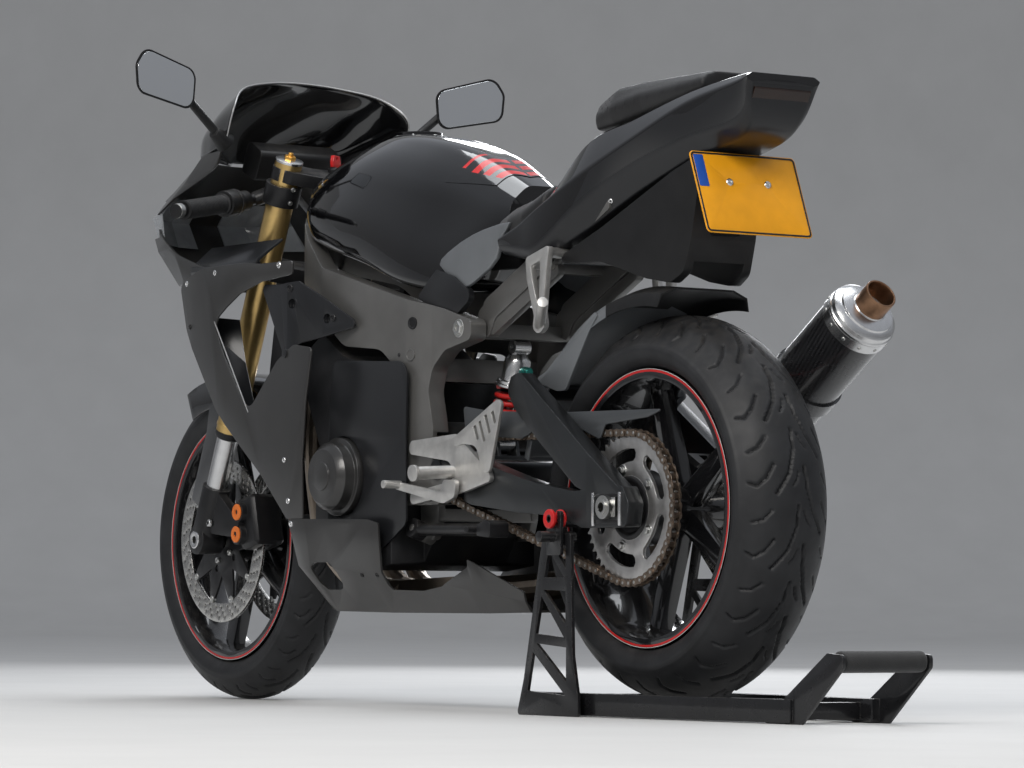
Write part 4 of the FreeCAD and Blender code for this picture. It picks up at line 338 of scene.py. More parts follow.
LOOKS = {
    "tyre": surface("tyre_rubber", (0.017, 0.0175, 0.019), 0.5, vary=(22.0, 0.3),
                    bump=("cast", 900.0, 0.14), dust=0.1, rough_vary=0.2),
    "wheel": surface("black_wheel", (0.008, 0.008, 0.009), 0.2, coat=0.8,
                     bump=("peel", 260.0, 0.02), dust=0.1),
    "steel": surface("bare_steel", (0.5, 0.5, 0.485), 0.3, metal=1.0, vary=(60.0, 0.1),
                     bump=("brushed", 700.0, 0.02)),
    "disc": surface("disc_steel", (0.5, 0.49, 0.47), 0.27, metal=1.0, vary=(40.0, 0.12),
                    bump=("spun", 800.0, 0.02)),
    "sprocket": surface("sprocket_steel", (0.52, 0.51, 0.5), 0.36, metal=0.9, vary=(70.0, 0.12),
                        bump=("cast", 900.0, 0.03)),
    "chain": surface("chain_steel", (0.2, 0.155, 0.12), 0.36, metal=0.9, vary=(180.0, 0.4),
                     bump=("cast", 700.0, 0.05)),
    "black_metal": surface("black_metal", (0.012, 0.012, 0.013), 0.34, vary=(30.0, 0.2),
                           bump=("cast", 420.0, 0.08), worn=(0.14, 0.14, 0.14), dust=0.12),
    "stand": surface("stand_paint", (0.01, 0.01, 0.011), 0.28, coat=0.35, vary=(20.0, 0.2),
                     bump=("peel", 240.0, 0.06), worn=(0.2, 0.19, 0.18), dust=0.2),
    "gold": surface("gold_tube", (0.62, 0.43, 0.17), 0.3, metal=0.9, vary=(40.0, 0.08),
                    bump=("spun", 500.0, 0.015)),
    "brass": surface("brass_cap", (0.78, 0.42, 0.09), 0.3, metal=0.85, vary=(70.0, 0.12),
                     bump=("spun", 700.0, 0.02)),
    "bright": surface("bright_metal", (0.66, 0.66, 0.66), 0.24, metal=1.0, vary=(40.0, 0.08),
                      bump=("brushed", 600.0, 0.015)),
    "cast": surface("cast_metal", (0.56, 0.55, 0.53), 0.4, metal=0.8, vary=(50.0, 0.12),
                    bump=("cast", 800.0, 0.06)),
    "frame": surface("frame_metal", (0.155, 0.152, 0.146), 0.38, metal=0.55, vary=(9.0, 0.14),
                     bump=("peel", 900.0, 0.03), worn=(0.3, 0.31, 0.32)),
    "gloss": surface("black_gloss", (0.0035, 0.0035, 0.0042), 0.09, coat=1.0, vary=(5.0, 0.25),
                     bump=("peel", 90.0, 0.006), coat_rough=0.015),
    "panel": surface("panel_grey", (0.043, 0.042, 0.041), 0.32, metal=0.4, coat=0.35,
                     vary=(7.0, 0.14), bump=("peel", 300.0, 0.02), coat_rough=0.16),
    "satin": surface("satin_grey", (0.17, 0.18, 0.19), 0.4, metal=0.35, coat=0.2,
                     vary=(9.0, 0.1), bump=("peel", 500.0, 0.02), coat_rough=0.2),
    "inner": surface("inner_black", (0.011, 0.0115, 0.013), 0.34, coat=0.25, vary=(9.0, 0.15),
                     bump=("peel", 300.0, 0.02), coat_rough=0.2),
    "arm": surface("arm_metal", (0.033, 0.035, 0.037), 0.3, metal=0.6, vary=(9.0, 0.14),
                   bump=("peel", 900.0, 0.02), worn=(0.2, 0.21, 0.22)),
    "satin_dark": surface("satin_dark", (0.07, 0.075, 0.08), 0.38, metal=0.35, vary=(9.0, 0.12),
                          bump=("peel", 500.0, 0.02)),
    "orange": surface("orange_cap", (0.72, 0.17, 0.02), 0.34, coat=0.3, vary=(60.0, 0.1)),
    # edge: a painted highlight, a pale grey for the line of light that a dark rounded edge catches
    "edge": surface("painted_edge_highlight", (0.42, 0.42, 0.42), 0.3, metal=0.5, vary=(60.0, 0.1)),
    "plastic": surface("black_plastic", (0.009, 0.009, 0.0095), 0.46, vary=(25.0, 0.2),
                       bump=("cast", 1100.0, 0.05), dust=0.08),
    "grip": surface("grip_rubber", (0.014, 0.014, 0.015), 0.62, vary=(60.0, 0.25),
                    bump=("grain", 900.0, 0.12), dust=0.1),
    "seat": surface("seat_cover", (0.011, 0.011, 0.012), 0.46, vary=(20.0, 0.2),
                    bump=("grain", 620.0, 0.2), sheen=0.15),
    "smoked": surface("smoked_lens", (0.016, 0.006, 0.003), 0.22, coat=0.35, vary=(18.0, 0.4),
                      coat_rough=0.12),
    "lens": surface("clear_lens", (0.36, 0.38, 0.4), 0.08, coat=1.0, vary=(14.0, 0.2)),
    "plate": surface("plate_yellow", (0.86, 0.37, 0.012), 0.36, vary=(30.0, 0.05),
                     bump=("peel", 300.0, 0.02)),
    "blue": surface("band_blue", (0.02, 0.09, 0.42), 0.36, vary=(40.0, 0.08)),
    "red": surface("red_paint", (0.52, 0.012, 0.012), 0.3, coat=0.4, vary=(50.0, 0.12)),
    "spring": surface("spring_red", (0.46, 0.014, 0.012), 0.34, coat=0.5, vary=(60.0, 0.15),
                      dust=0.1),
    "white": surface("pale_line", (0.6, 0.6, 0.58), 0.4, vary=(60.0, 0.1)),
    "beige": surface("beige_cup", (0.62, 0.43, 0.24), 0.4, coat=0.3, vary=(40.0, 0.1)),
    "teal": surface("teal_knob", (0.02, 0.2, 0.17), 0.3, metal=0.7, vary=(70.0, 0.1)),
    "carbon": weave("can_black", (0.003, 0.003, 0.0035), (0.02, 0.02, 0.022), 0.22, 0.0028),
    "pipe": surface("pipe_steel", (0.3, 0.25, 0.2), 0.32, metal=1.0, vary=(20.0, 0.25),
                    bump=("brushed", 500.0, 0.03)),
    "bronze": surface("bronze_outlet", (0.26, 0.15, 0.09), 0.36, metal=1.0, vary=(60.0, 0.25),
                      bump=("spun", 500.0, 0.02)),
    "screen": surface("screen_black", (0.003, 0.003, 0.0035), 0.12, coat=1.0, vary=(4.0, 0.3),
                      coat_rough=0.03),
    "mirror": surface("mirror_silver", (0.84, 0.86, 0.88), 0.03, metal=1.0, vary=(3.0, 0.02)),
    "foam": surface("foam_black", (0.018, 0.018, 0.018), 0.85, vary=(60.0, 0.25),
                    bump=("foam", 900.0, 0.5), sheen=0.3),
    "engine": surface("engine_black", (0.013, 0.013, 0.014), 0.45, vary=(28.0, 0.25),
                      bump=("cast", 620.0, 0.14), dust=0.12),
}

NODE_LOOKS = {
    "front_rim": "wheel", "rear_rim": "wheel", "front_tyre": "tyre", "rear_tyre": "tyre",
    "front_discs": "disc", "rear_disc": "disc", "rear_sprocket": "sprocket", "drive_chain": "chain",
    "triple_clamps": "black_metal", "fork_sleeves": "gold", "fork_legs": "bright",
    "fork_feet": "black_metal", "front_axle": "steel", "front_calipers": "black_metal",
    "front_mudguard": "gloss", "clip_ons": "black_metal", "hand_controls": "plastic", "frame": "frame",
    "swingarm": "frame", "rear_axle": "steel", "fuel_tank": "gloss", "fuel_cap": "gloss",
    "rider_seat": "seat", "tail_cowl": "gloss", "pillion_seat": "seat", "tail_light": "smoked",
    "undertray": "plastic", "number_plate": "plate", "subframe": "frame", "engine": "engine",
    "engine_covers": "panel", "radiator": "black_metal", "exhaust_headers": "pipe", "silencer": "carbon",
    "silencer_cap": "bright", "nose_cowl": "panel", "headlights": "lens", "windscreen": "screen",
    "mirrors": "plastic", "mirror_glass": "mirror", "instrument_panel": "plastic", "side_fairings": "panel",
    "belly_pan": "panel", "inner_panels": "panel", "rear_hugger": "plastic", "chain_guard": "panel",
    "shock_absorber": "bright", "rear_caliper": "black_metal", "rider_footrests": "cast",
    "pillion_footrests": "cast", "side_stand": "black_metal", "paddock_stand": "stand",
    "stand_handle": "foam",
}


def dress_nodes():
    """Gives each CAD node that stays its own material."""
    for name, look in NODE_LOOKS.items():
        data = NODES[name].data
        data.materials.clear()
        data.materials.append(LOOKS[look])


def sight(px, py):
    """The direction from the camera through a pixel of the 1024 x 768 frame."""
    right, up, ahead = camera_axes()
    across, down = px - FRAME_MIDDLE[0], py - FRAME_MIDDLE[1]
    return (ahead * FOCAL_PIXELS + right * across - up * down).normalized()


def tree_of(data):
    """A ray-cast tree over one mesh in the row frame."""
    return BVHTree.FromPolygons([v.co for v in data.vertices],
                                [tuple(face.vertices) for face in data.polygons])


TREES = {}


def first_hit(start, way, names):
    """Where a ray first meets one of the nodes: the point, the normal that faces it and the reach."""
    best = None
    for name in names:
        if name not in TREES:
            TREES[name] = tree_of(NODES[name].data)
        place, normal, _, reach = TREES[name].ray_cast(start, way)
        if place is not None and (best is None or reach < best[2]):
            best = (place, normal if normal.dot(way) < 0 else -normal, reach)
    return best


def hit(px, py, names):
    """Where the sight line of a pixel first meets one of the nodes."""
    return first_hit(CAMERA_AT, sight(px, py), names)


def flipped(vector, side):
    """The vector on the given side of the bike: 1 as it is, -1 mirrored."""
    return Vector((vector.x, vector.y * side, vector.z))


def turns(count, shift=0.0):
    """The angles of count even steps round a circle."""
    return [2 * math.pi * (index + shift) / count for index in range(count)]


def polar(radius, angle):
    """A flat point at a radius and an angle."""
    return radius * math.cos(angle), radius * math.sin(angle)


def around(axle, radius, angle, y):
    """A point at a radius and an angle round an axle, in the plane at y."""
    return at(axle[0] + radius * math.cos(angle), y, axle[1] + radius * math.sin(angle))


class Shape:
    """Gathers the faces of one piece, each with its look."""

    def __init__(self):
        self.bm = bmesh.new()
        self.looks = []

    def index(self, look):
        if look not in self.looks:
            self.looks.append(look)
        return self.looks.index(look)

    def face(self, corners, look):
        made = self.bm.faces.new(corners)
        made.material_index = self.index(look)
        return made

    def spin(self, start, axis, profile, look, steps=28, closed=False):
        """A turned form: profile rows are (radius, along) in millimetres."""
        axis = axis.normalized()
        side = axis.orthogonal().normalized()
        other = axis.cross(side)
        rings = []
        for radius, along in profile:
            middle = start + axis * (along * MM)
            if radius <= 0:
                rings.append([self.bm.verts.new(middle)])
                continue
            rings.append([self.bm.verts.new(
                middle + (side * math.cos(angle) + other * math.sin(angle)) * (radius * MM))
                for angle in turns(steps)])
        pairs = list(zip(rings, rings[1:]))
        if closed:
            pairs.append((rings[-1], rings[0]))
        for low, high in pairs:
            for step in range(steps):
                after = (step + 1) % steps
                if len(low) == 1:
                    self.face((low[0], high[after], high[step]), look)
                elif len(high) == 1:
                    self.face((low[step], low[after], high[0]), look)
                else:
                    self.face((low[step], low[after], high[after], high[step]), look)

    def bolt(self, at_point, axis, radius, high, look, socket=True):
        """A button-head screw with a socket."""
        hollow = high * 0.35 if socket else high
        middle = [(0, hollow), (radius * 0.42, hollow)] if socket else [(0, high)]
        self.spin(at_point, axis, middle + [
            (radius * 0.5, high), (radius * 0.82, high * 0.9), (radius, high * 0.45),
            (radius, -0.6), (0, -0.6)], look, steps=18)

    def sweep(self, line, radius, look, steps):
        """A round bar along a line of points, with a radius in millimetres."""
        points = [Vector(p) for p in line]
        reach = radius * MM
        side = None
        rings = []
        for index, middle in enumerate(points):
            ahead = points[min(index + 1, len(points) - 1)] - points[max(index - 1, 0)]
            ahead.normalize()
            if side is None:
                side = ahead.orthogonal().normalized()
            side = (side - ahead * side.dot(ahead)).normalized()
            other = ahead.cross(side)
            rings.append([self.bm.verts.new(
                middle + side * (reach * math.cos(angle)) + other * (reach * math.sin(angle)))
                for angle in turns(steps)])
        for low, high in zip(rings, rings[1:]):
            for step in range(steps):
                after = (step + 1) % steps
                self.face((low[step], low[after], high[after], high[step]), look)
        self.face(list(reversed(rings[0])), look)
        self.face(rings[-1], look)

    def cut_plate(self, loops, origin, across, up, thick, look):
        """A flat plate from loops of (u, v) in millimetres: the outer loop, then its holes."""
        spots, edges = [], []
        for loop in loops:
            first = len(spots)
            spots += [Vector(p) for p in loop]
            count = len(loop)
            edges += [(first + i, first + (i + 1) % count) for i in range(count)]
        verts, _, faces, _, _, _ = delaunay_2d_cdt(spots, edges, [], 0, 1e-6)
        normal = across.cross(up).normalized()
        front = [self.bm.verts.new(origin + across * (p.x * MM) + up * (p.y * MM)) for p in verts]
        back = [self.bm.verts.new(v.co - normal * (thick * MM)) for v in front]
        kept = []
        for face in faces:
            middle = sum((verts[i] for i in face), Vector((0, 0))) / len(face)
            if inside(middle, loops[0]) and not any(inside(middle, hole) for hole in loops[1:]):
                kept.append(face)
        rim = {}
        for face in kept:
            self.face([front[i] for i in face], look)
            self.face([back[i] for i in reversed(face)], look)
            for a, b in zip(face, face[1:] + face[:1]):
                rim[(a, b)] = rim.get((b, a)) is None
                if not rim[(a, b)]:
                    rim[(b, a)] = False
        for (a, b), open_edge in rim.items():
            if open_edge:
                self.face((front[b], front[a], back[a], back[b]), look)
        loose = [v for v in front + back if not v.link_faces]
        bmesh.ops.delete(self.bm, geom=loose, context="VERTS")

    def mirror(self):
        """Adds the same form on the other side of the bike."""
        whole = list(self.bm.verts) + list(self.bm.edges) + list(self.bm.faces)
        made = bmesh.ops.duplicate(self.bm, geom=whole)["geom"]
        for item in made:
            if isinstance(item, bmesh.types.BMVert):
                item.co.y = -item.co.y
        bmesh.ops.reverse_faces(
            self.bm, faces=[item for item in made if isinstance(item, bmesh.types.BMFace)])

    def done(self, name, body, slot, stands_for=(), bevel=0.0, sharp=32.0):
        """Turns the faces into a piece on its body."""
        bmesh.ops.recalc_face_normals(self.bm, faces=self.bm.faces)
        data = bpy.data.meshes.new(name)
        self.bm.to_mesh(data)
        self.bm.free()
        return settle(name, data, self.looks, body, slot, stands_for, bevel, sharp)


def inside(point, loop):
    """Whether a flat point lies inside a closed loop."""
    odd = False
    for (ax, ay), (bx, by) in zip(loop, loop[1:] + loop[:1]):
        if (ay > point[1]) != (by > point[1]):
            if point[0] < (bx - ax) * (point[1] - ay) / (by - ay) + ax:
                odd = not odd
    return odd


def settle(name, data, looks, body, slot, stands_for=(), bevel=0.0, sharp=32.0):
    """Adds a mesh as a piece that rides on a body and may stand for CAD nodes."""
    for look in looks:
        data.materials.append(LOOKS[look])
    piece = bpy.data.objects.new(name, data)
    bpy.context.collection.objects.link(piece)
    if bevel:
        edge = piece.modifiers.new("edge", "BEVEL")
        edge.width = bevel * MM
        edge.segments = 2
        edge.limit_method = "ANGLE"
        edge.angle_limit = math.radians(sharp)
        final = bpy.data.meshes.new_from_object(
            piece.evaluated_get(bpy.context.evaluated_depsgraph_get()))
        piece.modifiers.clear()
        piece.data = final
        data = final
    data.shade_smooth()
    data.set_sharp_from_angle(angle=math.radians(sharp))
    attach(piece, body)
    if stands_for:
        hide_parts(*stands_for)
    return piece


def remeshed(name, voxel, passes, sculpt=None):
    """A rounded copy of a CAD node: its mesh remeshed, smoothed and then shaped point by point."""
    draft = bpy.data.objects.new("draft", NODES[name].data.copy())
    bpy.context.collection.objects.link(draft)
    grid = draft.modifiers.new("grid", "REMESH")
    grid.mode = "VOXEL"
    grid.voxel_size = voxel * MM
    grid.adaptivity = 0.0
    soft = draft.modifiers.new("soft", "SMOOTH")
    soft.factor = 0.5
    soft.iterations = passes
    data = bpy.data.meshes.new_from_object(
        draft.evaluated_get(bpy.context.evaluated_depsgraph_get()))
    data.materials.clear()
    bpy.data.objects.remove(draft)
    if sculpt:
        for vertex in data.vertices:
            x, y, z = vertex.co.x / MM + AXLE_BACK, vertex.co.y / MM, vertex.co.z / MM
            vertex.co = at(*sculpt(x, y, z, vertex.normal))
    data.name = name
    return data


def node_like(name, voxel, passes, look, sculpt=None, sharp=60.0):
    """A rounded piece that stands for a CAD node on the node's own body."""
    data = remeshed(name, voxel, passes, sculpt)
    return settle(name + "_form", data, [look], NODE_BODY[name], NODE_SLOT[name], (name,),
                  sharp=sharp)


def curve_through(points, count):
    """Evenly spread points on a smooth line through the given ones."""
    points = [Vector(p) for p in points]
    padded = [points[0] * 2 - points[1]] + points + [points[-1] * 2 - points[-2]]
    line = []
    for step in range(count):
        share = (len(points) - 1) * step / (count - 1)
        leg = min(int(share), len(points) - 2)
        t = share - leg
        a, b, c, d = padded[leg:leg + 4]
        line.append(0.5 * ((2 * b) + (c - a) * t + (2 * a - 5 * b + 4 * c - d) * t * t
                           + (3 * b - a - 3 * c + d) * t ** 3))
    return line


# Tyre outlines from bead to crown: share of the half width, then radius.
FRONT_OUTLINE = ((0.765, 228), (0.86, 233), (0.955, 242), (1.0, 251), (0.985, 260), (0.93, 267),
                 (0.79, 279), (0.61, 289.5), (0.36, 296.5), (0.16, 299.4), (0.0, 300))
REAR_OUTLINE = ((0.772, 228), (0.87, 233), (0.955, 243), (1.0, 255), (0.98, 262), (0.94, 267),
                (0.83, 279), (0.65, 295), (0.43, 307), (0.2, 313.8), (0.0, 315))
# Tread grooves of one side as (along, across) in millimetres, then half width and depth.
FRONT_GROOVES = (
    (((0, 5), (26, 8), (54, 17), (78, 31)), 2.0, 3.6),
    (((46, 30), (60, 38), (68, 48), (64, 56)), 1.7, 3.0),
    (((12, 36), (24, 45), (28, 54)), 1.5, 2.6),
)
REAR_GROOVES = (
    (((0, 7), (34, 10), (72, 22), (104, 44)), 2.5, 4.6),
    (((56, 46), (78, 60), (90, 76), (84, 88)), 2.1, 3.8),
    (((8, 52), (24, 66), (30, 84)), 1.9, 3.4),
    (((70, 4), (84, 9), (92, 16)), 1.7, 3.2),
)


def tread_depth(along, across, grooves, pitch):
    """How deep the tread is cut at each point, from its distance to the grooves."""
    depth = np.zeros_like(along)
    for side in (1, -1):
        shift = 0.0 if side > 0 else pitch / 2
        for line, half, deep in grooves:
            nearest = np.full_like(along, 1e6)
            for (s0, a0), (s1, a1) in zip(line, line[1:]):
                ds, da = s1 - s0, a1 - a0
                local = np.mod(along - shift - s0 + pitch / 2, pitch) - pitch / 2
                for wrap in (-pitch, 0.0, pitch):
                    ps, pa = local + wrap, across * side - a0
                    share = np.clip((ps * ds + pa * da) / (ds * ds + da * da), 0, 1)
                    nearest = np.minimum(nearest, np.hypot(ps - share * ds, pa - share * da))
            wall = np.clip((half + 0.9 - nearest) / 1.6, 0, 1)
            depth = np.maximum(depth, deep * wall * wall * (3 - 2 * wall))
    return depth


def tyre(name, centre, half, outline, grooves, pitches, around, tread_edge):
    """A tyre as one fine turned grid whose tread is cut into the surface."""
    rows = [Vector((share * half, radius)) for share, radius in outline]
    fine = curve_through([(p.x, p.y, 0) for p in rows], 400)
    lengths = [0.0]
    for a, b in zip(fine, fine[1:]):
        lengths.append(lengths[-1] + (b - a).length)
    steps = int(lengths[-1] / 2.6)
    want = np.linspace(0, lengths[-1], steps)
    side_y = np.interp(want, lengths, [p.x for p in fine])
    side_r = np.interp(want, lengths, [p.y for p in fine])
    arc = lengths[-1] - want
    rib = 0.7 * (np.exp(-((arc - tread_edge - 14) / 1.6) ** 2)
                 + np.exp(-((arc - tread_edge - 22) / 1.6) ** 2))
    y = np.concatenate([side_y, -side_y[-2::-1]])
    r = np.concatenate([side_r, side_r[-2::-1]])
    across = np.concatenate([arc, -arc[-2::-1]])
    ribs = np.concatenate([rib, rib[-2::-1]])
    slope_y, slope_r = np.gradient(y), np.gradient(r)
    size = np.hypot(slope_y, slope_r)
    out_y, out_r = slope_r / size, -slope_y / size
    flip = np.sign(out_r * (r - 200) + out_y * y)
    out_y, out_r = out_y * flip, out_r * flip
    round_length = 2 * math.pi * r.max()
    angle = np.linspace(0, 2 * math.pi, around, endpoint=False)
    along, wide = np.meshgrid(angle / (2 * math.pi) * round_length, across, indexing="ij")
    cut = tread_depth(along, wide, grooves, round_length / pitches)
    cut = np.where(np.abs(wide) < tread_edge + 6, cut, 0)
    lift = ribs[None, :] - cut
    py = y[None, :] + out_y[None, :] * lift
    pr = r[None, :] + out_r[None, :] * lift
    bead = 228.6
    inner_y = np.array([-half * 0.7, -half * 0.45, half * 0.45, half * 0.7])
    inner_r = np.array([bead + 1, r.max() - 22, r.max() - 22, bead + 1])
    py = np.concatenate([py, np.repeat(inner_y[None, :], around, 0)], 1)
    pr = np.concatenate([pr, np.repeat(inner_r[None, :], around, 0)], 1)
    turn = np.repeat(angle[:, None], py.shape[1], 1)
    x = centre[0] - AXLE_BACK + pr * np.cos(turn)
    z = centre[1] + pr * np.sin(turn)
    points = np.stack([x, py, z], -1).reshape(-1, 3) * MM
    columns = py.shape[1]
    i, j = np.meshgrid(np.arange(around), np.arange(columns), indexing="ij")
    after_i, after_j = (i + 1) % around, (j + 1) % columns
    quads = np.stack([i * columns + j, i * columns + after_j, after_i * columns + after_j,
                      after_i * columns + j], -1).reshape(-1, 4)
    data = bpy.data.meshes.new(name)
    data.from_pydata(points.tolist(), [], quads.tolist())
    bm = bmesh.new()
    bm.from_mesh(data)
    bmesh.ops.recalc_face_normals(bm, faces=bm.faces)
    bm.to_mesh(data)
    bm.free()
    return settle(name + "_tread", data, ["tyre"], NODE_BODY[name], NODE_SLOT[name], (name,), sharp=50)


REAR_AXLE = (0.0, 338.0)
FRONT_AXLE = (1385.0, 300.0)
FRONT_SPROCKET = (600.0, 425.0)
ALONG_Y = Vector((0, 1, 0))
ALONG_X = Vector((1, 0, 0))
ALONG_Z = Vector((0, 0, 1))


def rim_stripes():
    """The red line and the thin pale one on each rim's edge, and the valve stems."""
    for name, centre, half in (("front", FRONT_AXLE, 50), ("rear", REAR_AXLE, 76)):
        shape = Shape()
        for side in (1, -1):
            start = at(centre[0], side * half, centre[1])
            for low, high, look in ((220.8, 224.3, "red"), (224.9, 225.8, "white")):
                shape.spin(start, ALONG_Y * side, [(low, -0.2), (low, 0.35), (high, 0.35), (high, -0.2)],
                           look, steps=160, closed=True)
        valve = at(centre[0] + 150, half - 26, centre[1] - 120)
        inward = (at(centre[0], half - 20, centre[1]) - valve).normalized()
        shape.spin(valve, inward, [(0, -2), (4.4, -2), (4.4, 14), (3, 17), (3, 26), (3.6, 27), (3.6, 35),
                                   (0, 36)], "black_metal", steps=14)
        shape.done(name + "_rim_lines", name + "_wheel", "black_wheel")


def circle(u, v, radius, count, start=0.0):
    return [(u + radius * math.cos(start + 2 * math.pi * i / count),
             v + radius * math.sin(start + 2 * math.pi * i / count)) for i in range(count)]


def front_discs():
    """Both front discs: drilled ring, bobbins, ten-armed carrier and hub boss."""
    shape = Shape()
    plane = 66.0
    origin = at(FRONT_AXLE[0], plane + 2.5, FRONT_AXLE[1])
    holes = []
    for index, angle in enumerate(turns(36)):
        for ring, lean in ((127.5, 0.0), (136.5, 0.05), (145.5, 0.1)):
            turn = angle + lean + (0.0 if index % 2 else 0.02)
            holes.append(circle(*polar(ring, turn), 2.7, 9, turn))
    inner = [polar(120.5 + 1.2 * math.cos(angle * 10), angle) for angle in turns(120)]
    shape.cut_plate([circle(0, 0, 155, 140), inner] + holes, origin, -ALONG_X, ALONG_Z, 5, "disc")
    arm = ((-0.31, 66), (-0.16, 92), (-0.075, 114), (0.075, 114), (0.16, 92))
    star = [polar(radius, angle + offset) for angle in turns(10) for offset, radius in arm]
    ports = [circle(*polar(56, angle), 7, 14) for angle in turns(5, 0.5)]
    shape.cut_plate([star, circle(0, 0, 17, 40)] + ports, at(FRONT_AXLE[0], plane + 2, FRONT_AXLE[1]),
                    -ALONG_X, ALONG_Z, 5, "black_metal")
    bobbin = [(0, 0), (6.4, 0), (6.4, 6.6), (5.4, 7.4), (3.4, 7.4), (3.0, 6.2), (0, 6.2)]
    for angle in turns(10):
        shape.spin(around(FRONT_AXLE, 117, angle, plane - 4), ALONG_Y, bobbin, "steel", steps=16)
    for angle in turns(5):
        shape.bolt(around(FRONT_AXLE, 40, angle, plane + 2.4), ALONG_Y, 6.2, 4.5, "steel")
    shape.spin(at(FRONT_AXLE[0], 52.3, FRONT_AXLE[1]), ALONG_Y,
               [(17.2, 0), (44, 0), (44, 8), (50, 10.4), (50, 11.4), (17.2, 11.4)], "black_metal",
               steps=56, closed=True)
    shape.mirror()
    shape.done("brake_discs", "front_wheel", NODE_SLOT["front_discs"], ("front_discs",), bevel=0.35)


def sprocket_and_chain():
    """The toothed rear sprocket on its carrier, and the chain link by link."""
    pitch, teeth, small = 15.875, 48, 16
    plane = 105.0
    back = pitch / (2 * math.sin(math.pi / teeth))
    fore = pitch / (2 * math.sin(math.pi / small))
    outline = []
    for index in range(teeth):
        for share in (-0.5, -0.44, -0.36, -0.3, -0.22, -0.11, 0.0, 0.11, 0.22, 0.3, 0.36, 0.44):
            away = abs(share) * pitch
            if away < 4.9:
                lift = -math.sqrt(max(5.2 ** 2 - away ** 2, 0.0))
            else:
                lift = -1.4 + (away - 4.9) / (0.44 * pitch - 4.9) * 4.4
            angle = 2 * math.pi * (index + share) / teeth
            reach = back + min(lift, 3.0)
            outline.append(polar(reach, angle))
    windows = []
    span = math.radians(25)
    end = ((90, span * 1.13), (82, span * 1.13), (76, span * 0.98))
    for middle in turns(5, 0.5):
        bean = [polar(96, middle + span * t) for t in (-1, -0.6, -0.2, 0.2, 0.6, 1)]
        bean += [polar(radius, middle + away) for radius, away in end]
        bean += [polar(74, middle + span * t) for t in (0.5, 0, -0.5)]
        bean += [polar(radius, middle - away) for radius, away in reversed(end)]
        windows.append(bean)
    shape = Shape()
    hub_x, hub_z = REAR_AXLE
    shape.cut_plate([outline, circle(0, 0, 46, 60)] + windows, at(hub_x, plane + 3.1, hub_z), -ALONG_X,
                    ALONG_Z, 6.2, "sprocket")
    shape.spin(at(hub_x, 70.3, hub_z), ALONG_Y, [(19, 0), (62, 0), (62, 20), (66, 24), (66, 31), (19, 31)],
               "black_metal", steps=60, closed=True)
    shape.spin(at(hub_x, plane - 3.2, hub_z), ALONG_Y,
               [(19, 0), (52, 0), (52, 7), (48, 9), (44, 9), (40, 6), (19, 6)],
               "black_metal", steps=60, closed=True)
    for angle in turns(5):
        spot = around(REAR_AXLE, 64, angle, plane + 3.1)
        shape.spin(spot, ALONG_Y, [(0, 7), (5, 7), (5.6, 6.6), (6.2, 0), (6.2, -1), (0, -1)], "steel",
                   steps=6)
        shape.spin(spot, ALONG_Y, [(0, 1.4), (9, 1.4), (9.6, 0.6), (9.6, -1), (0, -1)], "steel", steps=20)
    shape.done("sprocket_wheel", "rear_wheel", NODE_SLOT["rear_sprocket"], ("rear_sprocket",), bevel=0.3)

    first, second = Vector(REAR_AXLE), Vector(FRONT_SPROCKET)
    way = second - first
    tilt = math.atan2(way.y, way.x)
    lean = math.asin((back - fore) / way.length)
    top, low = tilt + math.pi / 2 - lean, tilt - math.pi / 2 + lean
    run = math.sqrt(way.length ** 2 - (back - fore) ** 2)
    back_arc = (2 * math.pi - (top - low)) * back
    fore_arc = (top - low) * fore
    total = back_arc + fore_arc + 2 * run
    count = 2 * round(total / pitch / 2)
    step = total / count
    shift = (math.degrees(top) % (360 / teeth)) / 360 * 2 * math.pi * back

    def pin(index):
        reach = (index * step - shift) % total
        if reach < back_arc:
            angle = top + reach / back
            return first + Vector((math.cos(angle), math.sin(angle))) * back
        reach -= back_arc
        out = Vector((math.cos(low), math.sin(low)))
        if reach < run:
            return first + out * back + (second + out * fore - first - out * back) * (reach / run)
        reach -= run
        if reach < fore_arc:
            angle = low + reach / fore
            return second + Vector((math.cos(angle), math.sin(angle))) * fore
        reach -= fore_arc
        out = Vector((math.cos(top), math.sin(top)))
        return second + out * fore + (first + out * back - second - out * fore) * (reach / run)

    chain = Shape()
    for index in range(count):
        here, after = pin(index), pin(index + 1)
        along = (after - here).normalized()
        up = Vector((-along.y, along.x))
        link = []
        for centre, start in ((here, 90), (after, -90)):
            for turn in (0, 36, 72, 108, 144, 180):
                angle = math.radians(start + turn)
                spot = centre + (along * math.cos(angle) + up * math.sin(angle)) * 6.6
                link.append(spot)
            middle = (here + after) / 2
            link.append(middle + up * (-4.9 if start == 90 else 4.9))
        offset = 4.6 if index % 2 else 6.6
        for side in (1, -1):
            near, far = plane + side * offset, plane + side * (offset + 1.7)
            rows = [[chain.bm.verts.new(at(p.x, y, p.y)) for p in link] for y in (near, far)]
            for i in range(len(link)):
                j = (i + 1) % len(link)
                chain.face((rows[0][i], rows[0][j], rows[1][j], rows[1][i]), "chain")
            chain.face(rows[0], "chain")
            chain.face(list(reversed(rows[1])), "chain")
        for radius, length, look, steps in ((2.6, 17, "steel", 8), (5.0, 8.6, "chain", 10)):
            chain.spin(at(here.x, plane - length / 2, here.y), ALONG_Y,
                       [(0, 0), (radius, 0), (radius, length), (0, length)], look, steps=steps)
    chain.done("chain_links", "chassis", NODE_SLOT["drive_chain"], ("drive_chain",), bevel=0.0)


